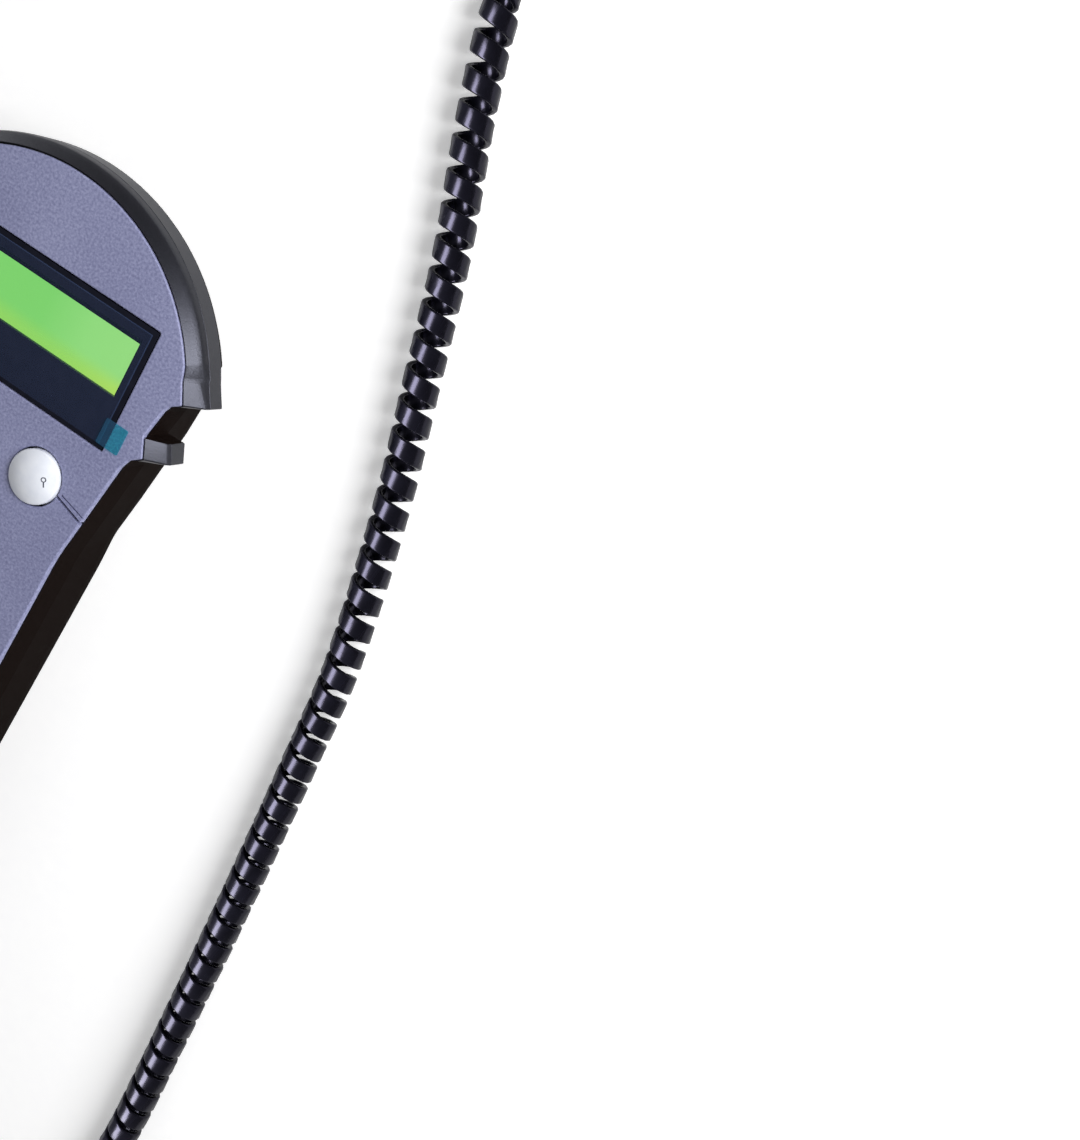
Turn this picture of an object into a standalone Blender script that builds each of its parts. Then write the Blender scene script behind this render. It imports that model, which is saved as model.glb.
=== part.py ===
"""Hand controller of a motorised telescope: a two-part case with a face plate, a display,
nineteen sprung keys and a curly cord that ends in a modular plug.

Metres, +Z up. The controller lies on its back with its face up, +X to its right and +Y
towards its round head. The origin is under the middle of the case, on the surface it lies on.
"""

import math

import bmesh
import bpy
from mathutils import Vector
from mathutils.kdtree import KDTree

# Clearance between pieces that touch, and walls of the mouldings.
GAP = 0.0003
WALL = 0.0022
ROOF = 0.0020
# How far a cutter runs past the face that it opens.
OVER = 0.002

# Keys: a domed cap with a retaining lip, in rows and columns.
KEY_DIAMETER = 0.0122
KEY_HOLE_CLEARANCE = 0.0004
KEY_LIP = 0.0004
KEY_LIP_THICKNESS = 0.0012
KEY_DOME = 0.0016
KEY_STAND = 0.0023
KEY_TRAVEL = 0.0012
KEY_ROW_SPACING = 0.0021
KEY_COLUMN_SPACING = 0.0087
ARROW_REACH = 0.0165
KEY_ROWS = 8
# The dome's points from the middle out, as shares of the key's radius, and how fast it drops.
DOME_SHARES = (0.0, 0.45, 0.8, 1.0)
DOME_POWER = 2.2

# Case: the outline in plan, then the heights.
HEAD_RADIUS = 0.0468
HEAD_ARC_END = math.radians(32)
RIM_WIDTH = 0.0032
TOOTH_TURN = math.radians(20)
FIRST_ROW_DROP = 0.0142
END_MARGIN = 0.0184
SIDE_MARGIN = 0.0037
WAIST_FLARE = 0.0024
END_CORNER_RADIUS = 0.018
CASE_DEPTH = 0.030
FRONT_DEPTH = 0.010
FACE_THICKNESS = 0.0016
HEAD_BACK_INSET = 0.0110
SIDE_BACK_INSET = 0.0030

# Display.
WINDOW_WIDTH = 0.0632
WINDOW_HEIGHT = 0.0283
WINDOW_DROP = 0.0007
WINDOW_THICKNESS = 0.0014
WINDOW_CORNER = 0.0008
PANEL_VIEW_WIDTH = 0.0534
PANEL_VIEW_HEIGHT = 0.0128
PANEL_VIEW_RISE = 0.0101
PANEL_MARGIN = 0.0020
PANEL_THICKNESS = 0.0014
LIGHT_GUIDE_THICKNESS = 0.0010
BEZEL_WALL = 0.0010
FILM_THICKNESS = 0.0002
FILM_INSET = 0.0010
FILM_TAB_REACH = 0.0038
FILM_TAB_WIDTH = 0.0060
FILM_TAB_RISE = 0.0003

# Boards and what is on them.
MAT_THICKNESS = 0.0015
BOARD_THICKNESS = 0.0016
BOARD_SIDE_CLEARANCE = 0.0008
BOARD_CORNER = 0.008
BOARD_END_CLEARANCE = 0.0120
CHIP_SIZE = 0.014
CHIP_THICKNESS = 0.0018
CHIP_ROW = 2
HEADER_WIDTH = 0.012
HEADER_LENGTH = 0.006
HEADER_HEIGHT = 0.0055
RIBBON_WIDTH = 0.022
RIBBON_LENGTH = 0.016
RIBBON_THICKNESS = 0.0006

# Screws, their posts and towers.
CASE_SCREW_SHANK = 0.0026
CASE_SCREW_HEAD = 0.0052
CASE_SCREW_HEAD_HEIGHT = 0.0020
CASE_SCREW_LENGTH = 0.016
CASE_SCREW_SINK = 0.0046
CASE_POST_DIAMETER = 0.0070
CASE_TOWER_DIAMETER = 0.0084
CASE_TOWER_HEIGHT = 0.0140
HEAD_SCREW_SPREAD = 0.0120
HEAD_SCREW_RISE = 0.0332
END_SCREW_RISE = 0.0078
BOARD_SCREW_SHANK = 0.0020
BOARD_SCREW_HEAD = 0.0042
BOARD_SCREW_HEAD_HEIGHT = 0.0014
BOARD_SCREW_LENGTH = 0.0052
BOARD_POST_DIAMETER = 0.0058
BOARD_SCREW_SPREAD = 0.0205
BOARD_SCREW_DROP = 0.0036
BOARD_SCREW_ROW = 3.5

# Cord: a wound cable with a straight lead at each end.
CABLE_DIAMETER = 0.0022
CURL_DIAMETER = 0.0084
CURL_PITCH = 0.0057
CURL_STRETCH = 0.0013
STRETCH_START = 0.63
STRETCH_END = 0.75
CURL_POINTS = 8
CURL_RUN_IN = 0.008
CURL_STEP = 0.0002
LEAD_LENGTH = 0.032
CABLE_SIDES_RESOLUTION = 1
BOOT_LENGTH = 0.024
BOOT_BASE_DIAMETER = 0.0100
BOOT_TIP_DIAMETER = 0.0056
BOOT_NECK_DIAMETER = 0.0070
BOOT_FLANGE_DIAMETER = 0.0095
BOOT_FLANGE_THICKNESS = 0.0020
BOOT_HEIGHT = 0.0115
COLLAR_LENGTH = 0.0070

# Plug.
PLUG_WIDTH = 0.0096
PLUG_HEIGHT = 0.0066
PLUG_LENGTH = 0.0150
PLUG_SLOT_DEPTH = 0.0022
PLUG_SLOT_LENGTH = 0.0055
PLUG_CONTACTS = 4
CONTACT_PITCH = 0.00127
CONTACT_WIDTH = 0.0005
LATCH_WIDTH = 0.0062
LATCH_THICKNESS = 0.0011
LATCH_LENGTH = 0.0145
LATCH_ROOT_SINK = 0.0010
LATCH_LIFT = math.radians(14)

# Sizes and levels that follow from those above.
ROW_PITCH = KEY_DIAMETER + KEY_ROW_SPACING
COLUMN_PITCH = KEY_DIAMETER + KEY_COLUMN_SPACING
KEY_HOLE = KEY_DIAMETER + 2 * KEY_HOLE_CLEARANCE
KEY_FLANGE = KEY_HOLE + 2 * KEY_LIP
CASE_LENGTH = HEAD_RADIUS + RIM_WIDTH + FIRST_ROW_DROP + (KEY_ROWS - 1) * ROW_PITCH + END_MARGIN
TOP = CASE_LENGTH / 2
BOTTOM = -CASE_LENGTH / 2
HEAD_Y = TOP - RIM_WIDTH - HEAD_RADIUS
FIRST_ROW_Y = HEAD_Y - FIRST_ROW_DROP
HANDLE_HALF = COLUMN_PITCH + KEY_DIAMETER / 2 + SIDE_MARGIN
WAIST_HALF = HANDLE_HALF + WAIST_FLARE
PARTING_HEIGHT = CASE_DEPTH - FRONT_DEPTH
POCKET_FLOOR = CASE_DEPTH - FACE_THICKNESS - GAP
ROOF_UNDER = POCKET_FLOOR - ROOF
KEY_FLANGE_TOP = ROOF_UNDER - GAP
KEY_BASE = KEY_FLANGE_TOP - KEY_LIP_THICKNESS
MAT_TOP = KEY_BASE - KEY_TRAVEL - GAP
BOARD_TOP = MAT_TOP - MAT_THICKNESS - GAP
BOARD_UNDER = BOARD_TOP - BOARD_THICKNESS
WINDOW_BOTTOM = HEAD_Y - WINDOW_DROP
WINDOW_TOP_Z = POCKET_FLOOR + GAP + WINDOW_THICKNESS
PANEL_Y = WINDOW_BOTTOM + PANEL_VIEW_RISE + PANEL_VIEW_HEIGHT / 2
BOARD_SPLIT = HEAD_Y
BOARD_HALF = HANDLE_HALF - WALL - BOARD_SIDE_CLEARANCE
MAT_Y_TOP = FIRST_ROW_Y + KEY_FLANGE / 2
COIL_Z = CURL_DIAMETER / 2 + GAP / 2
CURL_RADIUS = (CURL_DIAMETER - CABLE_DIAMETER) / 2
BOOT_TIP_Y = BOTTOM - BOOT_LENGTH
LEAD_END = BOOT_TIP_Y - LEAD_LENGTH

# The grip's outline on the right, from the head down, in shares of the head's radius: half
# width, height above the head's centre, and how much of the rim the point carries. Two saw
# teeth that lean up, then the waist.
GRIP = [
    (0.868, 0.465, 1.1),
    (0.921, 0.370, 1.3),
    (0.870, 0.332, 0.0),
    (0.853, 0.294, 0.0),
    (0.827, 0.157, 0.0),
    (0.830, 0.147, 1.4),
    (0.870, 0.059, 1.4),
    (0.814, 0.016, 0.0),
    (0.793, -0.036, 0.0),
    (0.748, -0.347, 0.0),
    (0.712, -0.582, 0.0),
]
# The same side of the rear case, without teeth: half width, height, share of the head's inset.
REAR_SIDE = [
    (0.838, 0.278, 0.15),
    (0.805, 0.064, 0.05),
    (0.742, -0.348, 0.0),
    (0.706, -0.582, 0.0),
]
WAIST_DROP = 0.0360
# The rear case's profile: share of its height, and the share of the back's inset reached there.
REAR_PROFILE = [(0.0, 1.0), (0.125, 0.82), (0.40, 0.55), (0.80, 0.18)]
# The front case's rim: share of the shell's height, and the share of the rim's width there.
RIM_PROFILE = [(0.0, 1.0), (0.54, 1.0), (0.76, 0.88), (0.92, 0.65), (1.0, 0.35)]

# Free cord: the points that its middle passes, in plan. The straight lead, the coil and the tail.
LEAD_ROUTE = [
    (0.0, BOOT_TIP_Y - GAP, BOOT_HEIGHT),
    (0.0, BOOT_TIP_Y - 0.006, BOOT_HEIGHT - 0.0004),
    (0.0, BOOT_TIP_Y - 0.013, BOOT_HEIGHT - 0.0030),
    (0.0, BOOT_TIP_Y - 0.020, COIL_Z + 0.0014),
    (0.0, LEAD_END + 0.006, COIL_Z + 0.0001),
    (0.0, LEAD_END, COIL_Z),
]
COIL_ROUTE = [
    (0.0, LEAD_END - GAP),
    (0.002, LEAD_END - 0.0172),
    (0.012, LEAD_END - 0.0352),
    (0.030, LEAD_END - 0.0472),
    (0.053, LEAD_END - 0.0492),
    (0.076, LEAD_END - 0.0412),
    (0.093, LEAD_END - 0.0242),
    (0.1030, LEAD_END),
    (0.1052, -0.118),
    (0.1030, -0.079),
    (0.1000, -0.040),
    (0.0968, -0.005),
    (0.0938, 0.022),
    (0.0858, 0.058),
    (0.0782, 0.084),
    (0.0698, 0.112),
    (0.0605, 0.137),
    (0.0545, 0.156),
    (0.0520, 0.170),
]
TAIL_ROUTE = [
    (0.0520, 0.170 + GAP, COIL_Z),
    (0.0520, 0.177, COIL_Z - 0.0004),
    (0.0520, 0.183, PLUG_HEIGHT / 2 + 0.0002),
    (0.0520, 0.190, PLUG_HEIGHT / 2),
]
PLUG_X, PLUG_Y = TAIL_ROUTE[-1][0], TAIL_ROUTE[-1][1] + GAP

CHARCOAL = (0.055, 0.055, 0.062)
FACE_GREY = (0.262, 0.266, 0.434)
KEY_WHITE = (0.85, 0.87, 0.92)
GREEN = (0.26, 0.69, 0.19)
BOARD_GREEN = (0.02, 0.16, 0.07)
BLACK = (0.008, 0.008, 0.012)
STEEL = (0.55, 0.56, 0.58)
GOLD = (0.80, 0.58, 0.22)
FILM_TEAL = (0.03, 0.26, 0.36)
GUIDE_CLEAR = (0.80, 0.85, 0.80)
MAT_GREY = (0.30, 0.30, 0.32)
NYLON = (0.75, 0.73, 0.66)
PLUG_CLEAR = (0.70, 0.72, 0.74)


for old in list(bpy.data.objects):
    bpy.data.objects.remove(old, do_unlink=True)

parts = bpy.data.collections.new("hand_controller")
cutters = bpy.data.collections.new("cutters")
bpy.context.scene.collection.children.link(parts)
bpy.context.scene.collection.children.link(cutters)


def material(name, colour, roughness=0.5, metallic=0.0):
    made = bpy.data.materials.new(name)
    made.use_nodes = True
    shader = made.node_tree.nodes["Principled BSDF"]
    shader.inputs["Base Color"].default_value = (*colour, 1.0)
    shader.inputs["Roughness"].default_value = roughness
    shader.inputs["Metallic"].default_value = metallic
    return made


def place(obj, look=None):
    """Puts an object with the parts, or without a look with the cutters."""
    (parts if look else cutters).objects.link(obj)
    if look:
        obj.data.materials.append(look)
    else:
        obj.hide_render = True
        obj.display_type = "WIRE"
    return obj


def from_bmesh(name, bm, look=None):
    mesh = bpy.data.meshes.new(name)
    bmesh.ops.recalc_face_normals(bm, faces=bm.faces)
    bm.to_mesh(mesh)
    bm.free()
    return place(bpy.data.objects.new(name, mesh), look)


def plate(name, outline, low, high, look=None):
    """A flat piece with the given outline in plan, between two heights."""
    curve = bpy.data.curves.new(name, "CURVE")
    curve.dimensions = "2D"
    curve.fill_mode = "BOTH"
    curve.extrude = (high - low) / 2
    spline = curve.splines.new("POLY")
    spline.points.add(len(outline) - 1)
    for point, (x, y) in zip(spline.points, outline):
        point.co = (x, y, 0.0, 1.0)
    spline.use_cyclic_u = True
    shape = bpy.data.objects.new(name + "_curve", curve)
    bpy.context.scene.collection.objects.link(shape)
    bpy.context.view_layer.update()
    mesh = bpy.data.meshes.new_from_object(shape.evaluated_get(bpy.context.evaluated_depsgraph_get()))
    bpy.data.objects.remove(shape)
    bpy.data.curves.remove(curve)
    bm = bmesh.new()
    bm.from_mesh(mesh)
    bpy.data.meshes.remove(mesh)
    bmesh.ops.remove_doubles(bm, verts=bm.verts, dist=1e-6)
    bmesh.ops.translate(bm, verts=bm.verts, vec=(0, 0, (low + high) / 2))
    return from_bmesh(name, bm, look)


def loft(name, rings, look=None):
    """A closed body through outlines of as many points each, from the lowest ring up."""
    bm = bmesh.new()
    levels = [[bm.verts.new((x, y, z)) for x, y in outline] for z, outline in rings]
    count = len(levels[0])
    for lower, upper in zip(levels, levels[1:]):
        for i in range(count):
            j = (i + 1) % count
            bm.faces.new((lower[i], lower[j], upper[j], upper[i]))
    bm.faces.new(reversed(levels[0]))
    bm.faces.new(levels[-1])
    return from_bmesh(name, bm, look)


def box(name, low, high, look=None):
    bm = bmesh.new()
    bmesh.ops.create_cube(bm, size=1.0)
    size = [b - a for a, b in zip(low, high)]
    centre = [(a + b) / 2 for a, b in zip(low, high)]
    bmesh.ops.scale(bm, verts=bm.verts, vec=size)
    bmesh.ops.translate(bm, verts=bm.verts, vec=centre)
    return from_bmesh(name, bm, look)


def cylinders(name, centres, diameter, low, high, sides=16):
    """Upright cylinders in one cutter."""
    bm = bmesh.new()
    for x, y in centres:
        made = bmesh.ops.create_cone(
            bm, cap_ends=True, segments=sides, radius1=diameter / 2, radius2=diameter / 2, depth=high - low
        )
        bmesh.ops.translate(bm, verts=made["verts"], vec=(x, y, (low + high) / 2))
    return from_bmesh(name, bm)


def turned(name, profile, look, steps=16):
    """A round piece about Z from (radius, height) points that run down its outer side."""
    mesh = bpy.data.meshes.new(name)
    mesh.from_pydata([(r, 0, z) for r, z in profile], [(i, i + 1) for i in range(len(profile) - 1)], [])
    obj = place(bpy.data.objects.new(name, mesh), look)
    screw = obj.modifiers.new("turn", "SCREW")
    screw.steps = screw.render_steps = steps
    screw.use_merge_vertices = True
    screw.merge_threshold = 1e-6
    return obj


def boolean(target, other, operation="DIFFERENCE"):
    step = target.modifiers.new(operation.lower(), "BOOLEAN")
    step.operation = operation
    step.object = other


def rounded(x0, y0, x1, y1, radius, steps=4):
    """A rectangle with round corners, anticlockwise."""
    left, right, low, high = x0 + radius, x1 - radius, y0 + radius, y1 - radius
    points = []
    for k, (cx, cy) in enumerate([(right, high), (left, high), (left, low), (right, low)]):
        for i in range(steps + 1):
            a = math.radians(90 * k + 90 * i / steps)
            points.append((cx + radius * math.cos(a), cy + radius * math.sin(a)))
    return points


def mirrored(right):
    """Closes a right-hand outline that starts at the top's middle and runs down to the bottom edge."""
    return right + [(-x, y) for x, y in reversed(right[1:])]


def head_arc(radius, steps=10):
    points = []
    for i in range(steps + 1):
        a = math.pi / 2 + (HEAD_ARC_END - math.pi / 2) * i / steps
        points.append((radius * math.cos(a), HEAD_Y + radius * math.sin(a)))
    return points


def handle_end(inset, steps=6):
    """The waist, the straight handle and its round corner, inset from the outside."""
    points = [(WAIST_HALF - inset, HEAD_Y - WAIST_DROP)]
    centre_x = HANDLE_HALF - END_CORNER_RADIUS
    centre_y = BOTTOM + END_CORNER_RADIUS
    radius = END_CORNER_RADIUS - inset
    for i in range(steps + 1):
        a = -math.pi / 2 * i / steps
        points.append((centre_x + radius * math.cos(a), centre_y + radius * math.sin(a)))
    return points


def front_outline(rim, spread=0.0):
    """The face's outline with the rim standing out round the head and on the teeth."""
    right = head_arc(HEAD_RADIUS + rim + spread)
    for x, y, share in GRIP:
        out, up = share * rim * math.cos(TOOTH_TURN), share * rim * math.sin(TOOTH_TURN)
        right.append((x * HEAD_RADIUS + out + spread, HEAD_Y + y * HEAD_RADIUS + up))
    return mirrored(right + handle_end(-spread))


def rear_outline(head_inset, side_inset):
    right = head_arc(HEAD_RADIUS + RIM_WIDTH - head_inset)
    for x, y, share in REAR_SIDE:
        inset = share * head_inset + (1 - share) * side_inset
        right.append((x * HEAD_RADIUS - inset, HEAD_Y + y * HEAD_RADIUS))
    return mirrored(right + handle_end(side_inset))


def rear_ring(z, share, wall=0.0):
    """The rear case's outline at a height, where it has reached a share of the back's inset."""
    return z, rear_outline(share * HEAD_BACK_INSET + wall, GAP + share * SIDE_BACK_INSET + wall)


def key_places():
    """Each key's name and place in plan, from the display down."""
    rows = [FIRST_ROW_Y - i * ROW_PITCH for i in range(KEY_ROWS)]
    found = [
        ("key_menu", -COLUMN_PITCH, rows[0]),
        ("key_enter", 0.0, rows[0]),
        ("key_back", COLUMN_PITCH, rows[0]),
        ("key_up", 0.0, rows[1]),
        ("key_left", -ARROW_REACH, rows[2]),
        ("key_right", ARROW_REACH, rows[2]),
        ("key_down", 0.0, rows[3]),
    ]
    names = ["key_1", "key_2", "key_3", "key_4", "key_5", "key_6", "key_7", "key_8", "key_9"]
    names += ["key_rate", "key_0", "key_info"]
    for i, name in enumerate(names):
        found.append((name, (i % 3 - 1) * COLUMN_PITCH, rows[4 + i // 3]))
    return found


KEYS = key_places()
KEY_CENTRES = [(x, y) for _, x, y in KEYS]
CASE_SCREWS = [(s * HEAD_SCREW_SPREAD, HEAD_Y + HEAD_SCREW_RISE) for s in (-1, 1)]
CASE_SCREWS += [(s * COLUMN_PITCH / 2, BOTTOM + END_SCREW_RISE) for s in (-1, 1)]
BOARD_SCREWS = [(s * BOARD_SCREW_SPREAD, HEAD_Y - BOARD_SCREW_DROP) for s in (-1, 1)]
BOARD_SCREWS += [(s * COLUMN_PITCH / 2, FIRST_ROW_Y - BOARD_SCREW_ROW * ROW_PITCH) for s in (-1, 1)]

charcoal = material("charcoal_abs", CHARCOAL, 0.45)
face_grey = material("lavender_grey_abs", FACE_GREY, 0.55)
key_white = material("white_silicone", KEY_WHITE, 0.4)
window_black = material("smoked_acrylic", BLACK, 0.08)
film_clear = material("protective_film", FILM_TEAL, 0.1)
panel_green = material("green_display_glass", GREEN, 0.2)
bezel_steel = material("black_sheet_steel", BLACK, 0.4, 1.0)
guide_clear = material("light_guide_acrylic", GUIDE_CLEAR, 0.2)
board_green = material("glass_fibre_board", BOARD_GREEN, 0.4)
mat_grey = material("grey_silicone", MAT_GREY, 0.6)
chip_black = material("epoxy_chip", BLACK, 0.5)
header_white = material("nylon_header", NYLON, 0.5)
screw_steel = material("zinc_plated_steel", STEEL, 0.35, 1.0)
cord_black = material("gloss_black_pvc", BLACK, 0.25)
plug_clear = material("clear_polycarbonate", PLUG_CLEAR, 0.1)
contact_gold = material("gold_plated_bronze", GOLD, 0.25, 1.0)

key_hole_cutter = cylinders("key_holes", KEY_CENTRES, KEY_HOLE, ROOF_UNDER - OVER, CASE_DEPTH + OVER, 14)


def make_front_case():
    """Top shell: a rim round the head, teeth on the sides, a pocket for the face plate, posts inside."""
    shoulder = CASE_DEPTH - PARTING_HEIGHT
    rings = [(PARTING_HEIGHT + up * shoulder, front_outline(share * RIM_WIDTH)) for up, share in RIM_PROFILE]
    case = loft("front_case", rings, charcoal)
    boolean(case, plate("face_pocket", front_outline(0.0, GAP), POCKET_FLOOR, CASE_DEPTH + OVER))
    boolean(case, plate("front_cavity", rear_outline(WALL, WALL), PARTING_HEIGHT - OVER, ROOF_UNDER))
    boolean(case, key_hole_cutter)
    view_x, view_y = PANEL_VIEW_WIDTH / 2, PANEL_VIEW_HEIGHT / 2
    low, high = (-view_x, PANEL_Y - view_y, ROOF_UNDER - OVER), (view_x, PANEL_Y + view_y, CASE_DEPTH)
    boolean(case, box("view_opening", low, high))
    post_low = CASE_TOWER_HEIGHT + GAP
    root = ROOF_UNDER + ROOF / 2
    boolean(case, cylinders("case_posts", CASE_SCREWS, CASE_POST_DIAMETER, post_low, root), "UNION")
    boolean(case, cylinders("board_posts", BOARD_SCREWS, BOARD_POST_DIAMETER, BOARD_TOP + GAP, root), "UNION")
    pilot = CASE_SCREW_SHANK + 2 * GAP
    boolean(case, cylinders("case_pilots", CASE_SCREWS, pilot, post_low - OVER, ROOF_UNDER - GAP, 10))
    pilot = BOARD_SCREW_SHANK + 2 * GAP
    boolean(case, cylinders("board_pilots", BOARD_SCREWS, pilot, BOARD_TOP, ROOF_UNDER - GAP, 10))


def make_rear_case():
    """Back shell: it narrows to a flat back, with a screw tower at each corner and the boot's hole."""
    levels = [(up * PARTING_HEIGHT, share) for up, share in REAR_PROFILE]
    rings = levels + [(PARTING_HEIGHT - GAP, 0.0)]
    case = loft("rear_case", [rear_ring(z, share) for z, share in rings], charcoal)
    inside = [(WALL, levels[1][1])] + levels[2:] + [(PARTING_HEIGHT + OVER, 0.0)]
    boolean(case, loft("rear_cavity", [rear_ring(z, share, WALL) for z, share in inside]))
    towers = cylinders("case_towers", CASE_SCREWS, CASE_TOWER_DIAMETER, WALL / 2, CASE_TOWER_HEIGHT)
    boolean(case, towers, "UNION")
    collar_end = BOTTOM + GAP + COLLAR_LENGTH
    collar = end_bar("boot_collar", BOOT_BASE_DIAMETER + 2 * WALL, BOTTOM + GAP, collar_end)
    boolean(case, collar, "UNION")
    sink = CASE_SCREW_SINK + CASE_SCREW_HEAD_HEIGHT + GAP
    boolean(case, cylinders("head_sinks", CASE_SCREWS, CASE_SCREW_HEAD + 2 * GAP, -OVER, sink))
    through = CASE_SCREW_SHANK + 2 * GAP
    boolean(case, cylinders("shank_holes", CASE_SCREWS, through, 0.0, CASE_TOWER_HEIGHT + OVER, 10))
    boolean(case, end_bar("boot_hole", BOOT_NECK_DIAMETER + 2 * GAP, BOTTOM - OVER, collar_end + OVER))


def end_bar(name, diameter, low, high):
    """A cylinder along Y at the boot's height, as a cutter or a piece to join."""
    bm = bmesh.new()
    radius = diameter / 2
    bmesh.ops.create_cone(bm, cap_ends=True, segments=16, radius1=radius, radius2=radius, depth=high - low)
    bar = from_bmesh(name, bm)
    bar.rotation_euler = (math.pi / 2, 0, 0)
    bar.location = (0, (low + high) / 2, BOOT_HEIGHT)
    return bar


def make_face_plate():
    face = plate("face_plate", front_outline(0.0), CASE_DEPTH - FACE_THICKNESS, CASE_DEPTH, face_grey)
    boolean(face, key_hole_cutter)
    half = WINDOW_WIDTH / 2 + GAP
    low, high = WINDOW_BOTTOM - GAP, WINDOW_BOTTOM + WINDOW_HEIGHT + GAP
    opening = rounded(-half, low, half, high, WINDOW_CORNER + GAP, 2)
    boolean(face, plate("window_opening", opening, POCKET_FLOOR, CASE_DEPTH + OVER))


def make_display():
    """Window and film on top, then the bezel with its panel and light guide, and the board below."""
    half = WINDOW_WIDTH / 2
    window = rounded(-half, WINDOW_BOTTOM, half, WINDOW_BOTTOM + WINDOW_HEIGHT, WINDOW_CORNER, 2)
    plate("display_window", window, POCKET_FLOOR + GAP, WINDOW_TOP_Z, window_black)

    film_z = max(WINDOW_TOP_Z, CASE_DEPTH) + GAP
    edge = half - FILM_INSET
    low, high = WINDOW_BOTTOM + FILM_INSET, WINDOW_BOTTOM + WINDOW_HEIGHT - FILM_INSET
    tab_low, tab_x = low + FILM_TAB_RISE, half + FILM_TAB_REACH
    tab_high = tab_low + FILM_TAB_WIDTH
    film = [(-edge, low), (edge, low), (edge, tab_low), (tab_x, tab_low), (tab_x, tab_high)]
    film += [(edge, tab_high), (edge, high), (-edge, high)]
    plate("screen_film", film, film_z, film_z + FILM_THICKNESS, film_clear)

    top = ROOF_UNDER - GAP
    half_x, half_y = PANEL_VIEW_WIDTH / 2 + PANEL_MARGIN, PANEL_VIEW_HEIGHT / 2 + PANEL_MARGIN
    inner_x, inner_y = half_x + GAP, half_y + GAP
    outer_x, outer_y = inner_x + BEZEL_WALL, inner_y + BEZEL_WALL
    base = BOARD_TOP + GAP
    low, high = (-outer_x, PANEL_Y - outer_y, base), (outer_x, PANEL_Y + outer_y, top)
    bezel = box("display_bezel", low, high, bezel_steel)
    hollow_top = top - BEZEL_WALL / 2
    low, high = (-inner_x, PANEL_Y - inner_y, base - OVER), (inner_x, PANEL_Y + inner_y, hollow_top)
    boolean(bezel, box("bezel_hollow", low, high))
    view_x, view_y = PANEL_VIEW_WIDTH / 2, PANEL_VIEW_HEIGHT / 2
    low, high = (-view_x, PANEL_Y - view_y, base), (view_x, PANEL_Y + view_y, top + OVER)
    boolean(bezel, box("bezel_view", low, high))
    panel_top = hollow_top - GAP
    panel_low = panel_top - PANEL_THICKNESS
    low, high = (-half_x, PANEL_Y - half_y, panel_low), (half_x, PANEL_Y + half_y, panel_top)
    box("display_panel", low, high, panel_green)
    guide_top = panel_low - GAP
    guide_low = guide_top - LIGHT_GUIDE_THICKNESS
    low, high = (-half_x, PANEL_Y - half_y, guide_low), (half_x, PANEL_Y + half_y, guide_top)
    box("light_guide", low, high, guide_clear)
    screw_room = HEAD_Y + HEAD_SCREW_RISE - CASE_POST_DIAMETER / 2 - 2 * GAP
    board_half = outer_x + PANEL_MARGIN
    outline = rounded(-board_half, BOARD_SPLIT + GAP, board_half, screw_room, PANEL_MARGIN, 2)
    plate("display_board", outline, BOARD_UNDER, BOARD_TOP, board_green)


def make_boards():
    mat_outline = rounded(-BOARD_HALF, BOTTOM + BOARD_END_CLEARANCE, BOARD_HALF, MAT_Y_TOP, BOARD_CORNER)
    mat = plate("key_mat", mat_outline, BOARD_TOP + GAP, MAT_TOP, mat_grey)
    clear = BOARD_POST_DIAMETER + 2 * GAP
    boolean(mat, cylinders("mat_holes", BOARD_SCREWS, clear, BOARD_TOP, CASE_DEPTH, 14))

    outline = rounded(-BOARD_HALF, BOTTOM + BOARD_END_CLEARANCE, BOARD_HALF, BOARD_SPLIT - GAP, BOARD_CORNER)
    board = plate("main_board", outline, BOARD_UNDER, BOARD_TOP, board_green)
    hole = BOARD_SCREW_SHANK + 2 * GAP
    boolean(board, cylinders("board_holes", BOARD_SCREWS, hole, BOARD_UNDER - OVER, BOARD_TOP + OVER, 10))

    under = BOARD_UNDER - GAP
    chip_y = FIRST_ROW_Y - CHIP_ROW * ROW_PITCH
    half = CHIP_SIZE / 2
    low, high = (-half, chip_y - half, under - CHIP_THICKNESS), (half, chip_y + half, under)
    box("processor_chip", low, high, chip_black)
    header_y = BOTTOM + BOARD_END_CLEARANCE + HEADER_LENGTH
    half = HEADER_WIDTH / 2
    low, high = (-half, header_y, under - HEADER_HEIGHT), (half, header_y + HEADER_LENGTH, under)
    box("cord_header", low, high, header_white)
    half, reach = RIBBON_WIDTH / 2, RIBBON_LENGTH / 2
    low, high = (-half, BOARD_SPLIT - reach, under - RIBBON_THICKNESS), (half, BOARD_SPLIT + reach, under)
    box("ribbon_cable", low, high, header_white)


def make_keys():
    """Domed caps that share one turned profile. Each one's origin is on its own axis."""
    top = CASE_DEPTH + KEY_STAND
    radius, flange = KEY_DIAMETER / 2, KEY_FLANGE / 2
    dome = [(radius * share, top - KEY_DOME * share**DOME_POWER) for share in DOME_SHARES]
    profile = dome + [(radius, KEY_FLANGE_TOP), (flange, KEY_FLANGE_TOP), (flange, KEY_BASE), (0.0, KEY_BASE)]
    for name, x, y in KEYS:
        turned(name, profile, key_white, 12).location = (x, y, 0)


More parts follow.
